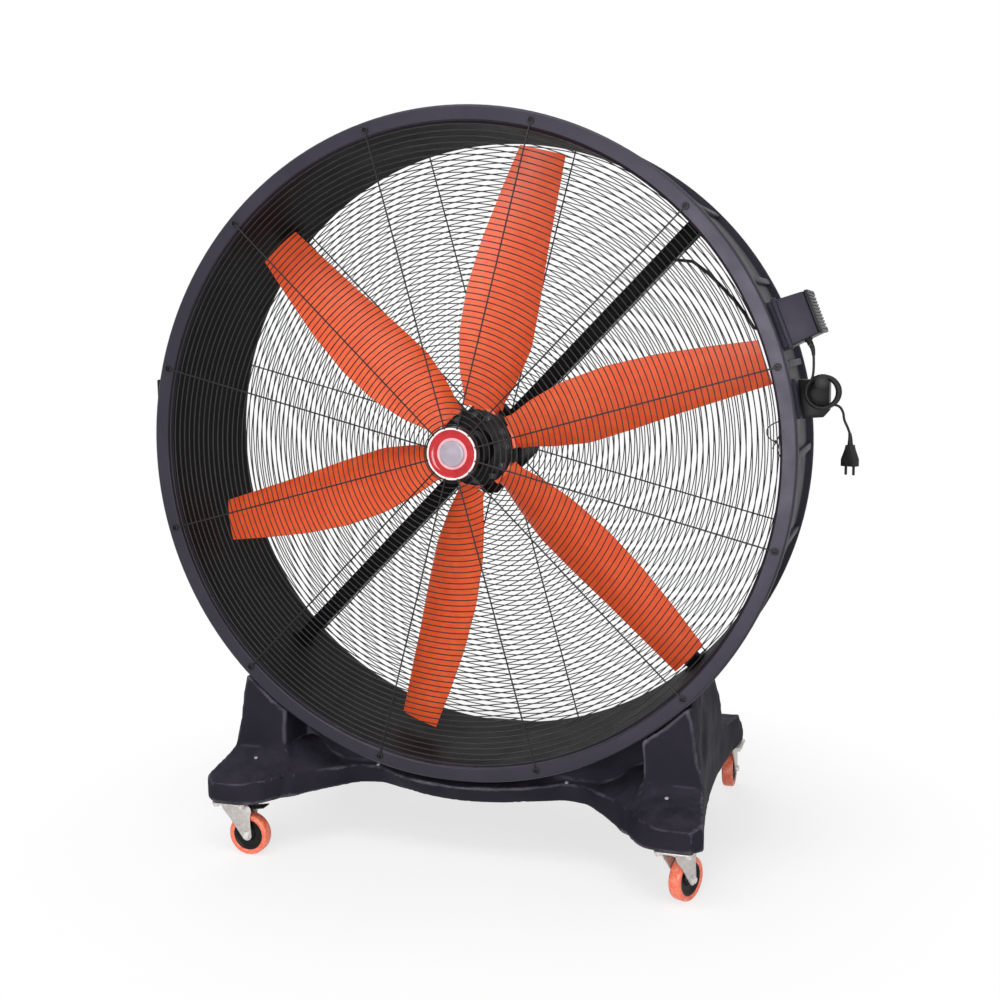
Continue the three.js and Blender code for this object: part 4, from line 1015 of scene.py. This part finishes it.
# ---- badge, left bare
def badge():
    """A red dish with a pale rim and a pale ring round its middle, and the bare disc."""
    back, rim_r, bloom_r = 7.4, 55.1, 34.0
    front = back - 9
    bm = bmesh.new()
    dish = [(0, back - 3), (31, back - 3), (36, back - 3.1), (45, back - 3.6), (50, back - 4.6),
            (54, back - 7.4), (55.2, front + 1), (56, front), (58.6, front), (59.6, front + 0.6),
            (60, front + 1.8), (60, back), (0, back)]
    spin_profile(bm, dish, 96, at(0, 0, 0))
    outward(bm)
    for face in bm.faces:
        x, y, z = (face.calc_center_median() - at(0, 0, 0)) / MM
        if hypot(x, z) > rim_r:
            face.material_index = 1
        elif hypot(x, z) < bloom_r and y < back:
            face.material_index = 2
    finishes = [BADGE_RED, BADGE_WHITE, BADGE_BLOOM]
    piece = finish_piece("badge_dish_lacquered", bm, finishes, "frame", 50)
    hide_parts("badge_dish")
    seat = back - 3.3
    disc = [(0, seat - 4), (24, seat - 4), (27, seat - 3.6), (29, seat - 2.6), (30, seat - 1.2),
            (30, seat), (0, seat)]
    piece = turned("badge_disc_plain", disc, 96, at(0, 0, 0), BADGE_GREY, "frame",
                   "badge_grey", 40)
    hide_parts("badge_disc")


badge()

# ---- blades
HUB_Y, HUB_R, TIP_R, BLADE_WIDE, BLADE_THICK = 191, 92, 707, 94, 7
BLADES, BLADE_START, ROOT_PITCH, TWIST = 6, 16.4, 38, 20
# How far the blade runs plain out of the hub, and how deep its section bows.
NECK, BOW = 22, 0.05
# Plan ahead of the blade's axis and behind it, as shares of its length and its width.
BLADE_LEAD = [(0.0, 0.52), (0.1, 0.74), (0.24, 0.93), (0.42, 1.0), (0.62, 0.92), (0.82, 0.74),
              (1.0, 51 / 94)]
BLADE_TRAIL = [(0.0, 0.34), (0.1, 0.52), (0.24, 0.68), (0.42, 0.66), (0.62, 0.6), (0.82, 0.57),
               (1.0, 51 / 94)]


def blade_deg(index):
    return BLADE_START + 360 / BLADES * index


def blade(index):
    """A twisted sheet with the section's bow, thick along its middle."""
    bm = bmesh.new()
    bmesh.ops.create_grid(bm, x_segments=36, y_segments=12, size=0.5)
    bmesh.ops.solidify(bm, geom=bm.faces, thickness=1.0)
    low = min(v.co.z for v in bm.verts)
    high = max(v.co.z for v in bm.verts)
    start = HUB_R + 4
    turn, centre = radial(blade_deg(index)), at(0, 0, 0)
    for v in bm.verts:
        f, s = v.co.x + 0.5, v.co.y + 0.5
        up = 1.0 if v.co.z > (low + high) / 2 else -1.0
        r = start + f * (TIP_R - start)
        share = max(0.0, (r - HUB_R - NECK) / (TIP_R - HUB_R - NECK))
        lead = looked_up(BLADE_LEAD, share) * BLADE_WIDE
        trail = looked_up(BLADE_TRAIL, share) * BLADE_WIDE
        pitch = radians(ROOT_PITCH - TWIST * share)
        chord = (lead + trail) / cos(pitch)
        thick = BLADE_THICK * (1.5 - 0.9 * share) * (0.2 + 0.3 * sin(pi * sqrt(s)))
        height = sin(pi * s) * BOW * chord + up * thick
        along = s * chord - trail / cos(pitch)
        across = along * cos(pitch) - height * sin(pitch)
        y = HUB_Y - along * sin(pitch) - height * cos(pitch)
        v.co = centre + turn @ (Vector((r, y, across)) * MM)
    outward(bm)
    return finish_piece(f"blade_{index + 1}_moulding", bm, BLADE_NYLON, "rotor", 50)


for i in range(BLADES):
    made = blade(i)
    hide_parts(f"blade_{i + 1}")
    root = bmesh.new()
    place = Matrix.Translation(polar(80, blade_deg(i), HUB_Y)) @ radial(blade_deg(i))
    block(root, place, (36, 32.4, 56), 3)
    finish_piece(f"blade_{i + 1}_root", root, BLADE_NYLON, "rotor")

# ---- hub, motor and cross
from_node("hub_casting", "blade_hub", CASTING, "rotor", bevel=1.5)
from_node("hub_back_plate", "hub_plate", CASTING, "rotor", bevel=1.0)
dress("motor_shaft", SHAFT_STEEL)


def hub_bolts():
    """Two bolts in the hub's face for each blade."""
    circle_r, half_deg, face = 77, 13, HUB_Y - 26.5
    bm = bmesh.new()
    for i in range(BLADES):
        for side in (-half_deg, half_deg):
            hex_bolt(bm, polar(circle_r, blade_deg(i) + side, face), -Y_AXIS, 13, 7, 18)
    finish_piece("hub_bolts", bm, BLACK_OXIDE, "rotor")


hub_bolts()
for i in range(1, 5):
    from_node(f"cross_bar_{i}", f"support_bar_{i}", BAR_ENAMEL, "frame", bevel=1.5)
    from_node(f"cross_bracket_{i}", f"bar_bracket_{i}", BAR_ENAMEL, "frame", bevel=1.0)
from_node("motor_mount_plate", "motor_mount", CASTING, "frame", bevel=1.5)
from_node("motor_casing", "motor_body", CASTING, "frame", bevel=1.0)
from_node("motor_fan_cowl", "motor_cowl", CASTING, "frame", bevel=1.0)
from_node("motor_terminal_box", "terminal_box", BLACK_PP, "frame", bevel=3.0,
          segments=3)
from_node("motor_feed", "motor_cable", RUBBER, "frame", sharp=80)

# ---- control box and lugs
from_node("control_housing", "control_box", BOX_POLYETHYLENE, "frame",
          bevel=4.0, segments=3)
BOX_TURN = radial(BOX_DEG)


def in_box(r, y, t):
    """A point in the control box's own axes: along its radius, along the drum, across."""
    return at(0, 0, 0) + BOX_TURN @ (Vector((r, y, t)) * MM)


def box_block(bm, r0, r1, y0, y1, t0, t1, edge):
    """A block in the control box's own axes."""
    middle = in_box((r0 + r1) / 2, (y0 + y1) / 2, (t0 + t1) / 2)
    block(bm, Matrix.Translation(middle) @ BOX_TURN, (r1 - r0, y1 - y0, t1 - t0), edge)


def control_lid():
    """A black plate with fine fins along it."""
    foot, half, fins = BOX_OUT + 0.3, 48.0, 13
    bm = bmesh.new()
    box_block(bm, foot, foot + 5.5, 37, 201, -half, half, 1.5)
    lid = finish_piece("control_lid_plate", bm, BLACK_PP, "frame")
    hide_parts("control_lid")
    bm = bmesh.new()
    for i in range(fins):
        t = -half + 3 + i * (2 * half - 6) / (fins - 1)
        box_block(bm, foot + 4.5, foot + 8, 38.5, 199.5, t - 2.5, t + 2.5, 0.9)
    finish_piece("control_lid_fins", bm, LID_FIN, "frame")
    bm = bmesh.new()
    outwards = (BOX_TURN @ Vector((1, 0, 0))).normalized()
    for y in (46, 192):
        for t in (-40, 40):
            hex_bolt(bm, in_box(foot + 5.5, y, t), outwards, 7, 3)
    finish_piece("control_lid_screws", bm, BLACK_OXIDE, "frame")


control_lid()
foot = bmesh.new()
box_block(foot, 777, 788, 32, 46, -57, 57, 3)
finish_piece("control_box_foot_ridge", foot, BOX_POLYETHYLENE, "frame")
from_node("speed_dial", "speed_knob", BLACK_PP, "knob", bevel=1.0)
from_node("left_side_lug", "left_lug", BLACK_PP, "frame", bevel=4.0,
          segments=3)
from_node("cord_hook_lug", "cord_hook", BLACK_PP, "frame", bevel=2.0)

# ---- casters
# Each caster's swivel axis and how far its fork has turned, in degrees from +X.
CASTERS = {"fl": (-535, -90, 0), "fr": (535, -90, 67), "rl": (-535, 668, 100), "rr": (535, 668, 90)}
# The axle from the swivel axis at the plate's top: how far behind it, and how far down.
TRAIL, DROP, TYRE_HALF = 38, 82, 15
UP = Vector((0, 0, 1))


def fork_cheek():
    """Outline of a fork cheek, (behind the swivel axis, up) from the plate's top."""
    round_end = [(TRAIL + 12.5 * cos(a), 12.5 * sin(a) - DROP)
                 for a in map(radians, range(205, 366, 16))]
    return [(-27, -9), (-27, -15), (-22, -24), (-6, -42), *round_end, (48, -50), (48.5, -34),
            (51, -24), (50, -14), (45, -9)]


def pressed_fork(pin, out, axle):
    """Two cheeks with round ends, the crown that joins them, its raceway and the axle."""
    half, sheet = 20.0, 3.5
    bm = bmesh.new()

    def spot(a, across, z):
        return pin + (out * a + axle * across + UP * z) * MM

    for start in (-half, half - sheet):
        face = bm.faces.new([bm.verts.new(spot(a, start, z)) for a, z in fork_cheek()])
        made = bmesh.ops.extrude_face_region(bm, geom=[face])
        moved = [g for g in made["geom"] if isinstance(g, bmesh.types.BMVert)]
        bmesh.ops.translate(bm, verts=moved, vec=axle * sheet * MM)
    bmesh.ops.recalc_face_normals(bm, faces=bm.faces)
    rounded(bm, [e for e in bm.edges if e.calc_face_angle(0) > 1.2], 0.8)
    turn = Matrix((out, axle, UP)).transposed().to_4x4()
    block(bm, Matrix.Translation(spot(1.5, 0, -10.6)) @ turn, (55, 39.8, 3.2), 1.4)
    race = [(8.4, -4.3), (24, -4.3), (29.5, -5.2), (31, -6.8), (31, -8.6), (29, -10.6),
            (22, -11.3), (8.4, -11.3), (8.4, -4.3)]
    ring = bmesh.new()
    spin_profile(ring, race, 40, pin, UP, out)
    outward(ring)
    merge(bm, ring)
    rod(bm, spot(TRAIL, -half, -DROP), spot(TRAIL, half, -DROP), 12, 24)
    return bm


def caster(tag, x, y, deg):
    swivel, wheel = f"swivel_{tag}", f"wheel_{tag}"
    a = radians(deg)
    out = Vector((cos(a), sin(a), 0))
    axle = Vector((-sin(a), cos(a), 0))
    pin = Vector((x, y, UNDERSIDE)) * MM + OFFSET
    hub = pin + (out * TRAIL - UP * DROP) * MM
    from_node(f"caster_{tag}_top_plate", f"caster_{tag}_plate", ZINC, "frame", bevel=0.8)
    bm = pressed_fork(pin, out, axle)
    fork = finish_piece(f"caster_{tag}_pressed_fork", bm, ZINC, swivel, 40)
    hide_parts(f"caster_{tag}_fork")
    nuts = bmesh.new()
    for side in (-1, 1):
        hex_bolt(nuts, hub + axle * (side * 20.2 * MM), axle * side, 15, 4.6, 19)
    finish_piece(f"caster_{tag}_axle_nuts", nuts, BOLT_ZINC, swivel)
    bolts = bmesh.new()
    for u in (-33, 33):
        for v in (-33, 33):
            hex_bolt(bolts, pin + Vector((u, v, -4)) * MM, -UP, 13, 6, 17)
    finish_piece(f"caster_{tag}_plate_bolts", bolts, BOLT_ZINC, "frame")
    w = -TYRE_HALF
    tyre = [(37.4, w + 2), (42, w + 0.4), (45.5, w + 0.2), (48.4, w + 2), (49.7, w + 5), (50, -8)]
    piece = turned(f"caster_{tag}_polyurethane", mirrored(tyre), 72, hub, POLYURETHANE, wheel,
                   "caster_tyre", 50, axis=axle, start=UP)
    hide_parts(f"caster_{tag}_tyre")
    core = [(6.4, w + 1), (14, w + 1), (15.4, w + 2.4), (17, w + 7), (29, w + 7), (33, w + 2.6),
            (34.4, w + 2), (36.9, w + 2)]
    piece = turned(f"caster_{tag}_wheel_core", mirrored(core), 60, hub, BLACK_PP, wheel,
                   "black_plastic", 30, axis=axle, start=UP)
    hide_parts(f"caster_{tag}_core")
    if tag in ("fl", "fr"):
        from_node(f"caster_{tag}_brake_pedal", f"caster_{tag}_pedal", BLACK_PP, f"pedal_{tag}",
                  bevel=0.8)


for tag, (x, y, deg) in CASTERS.items():
    caster(tag, x, y, deg)
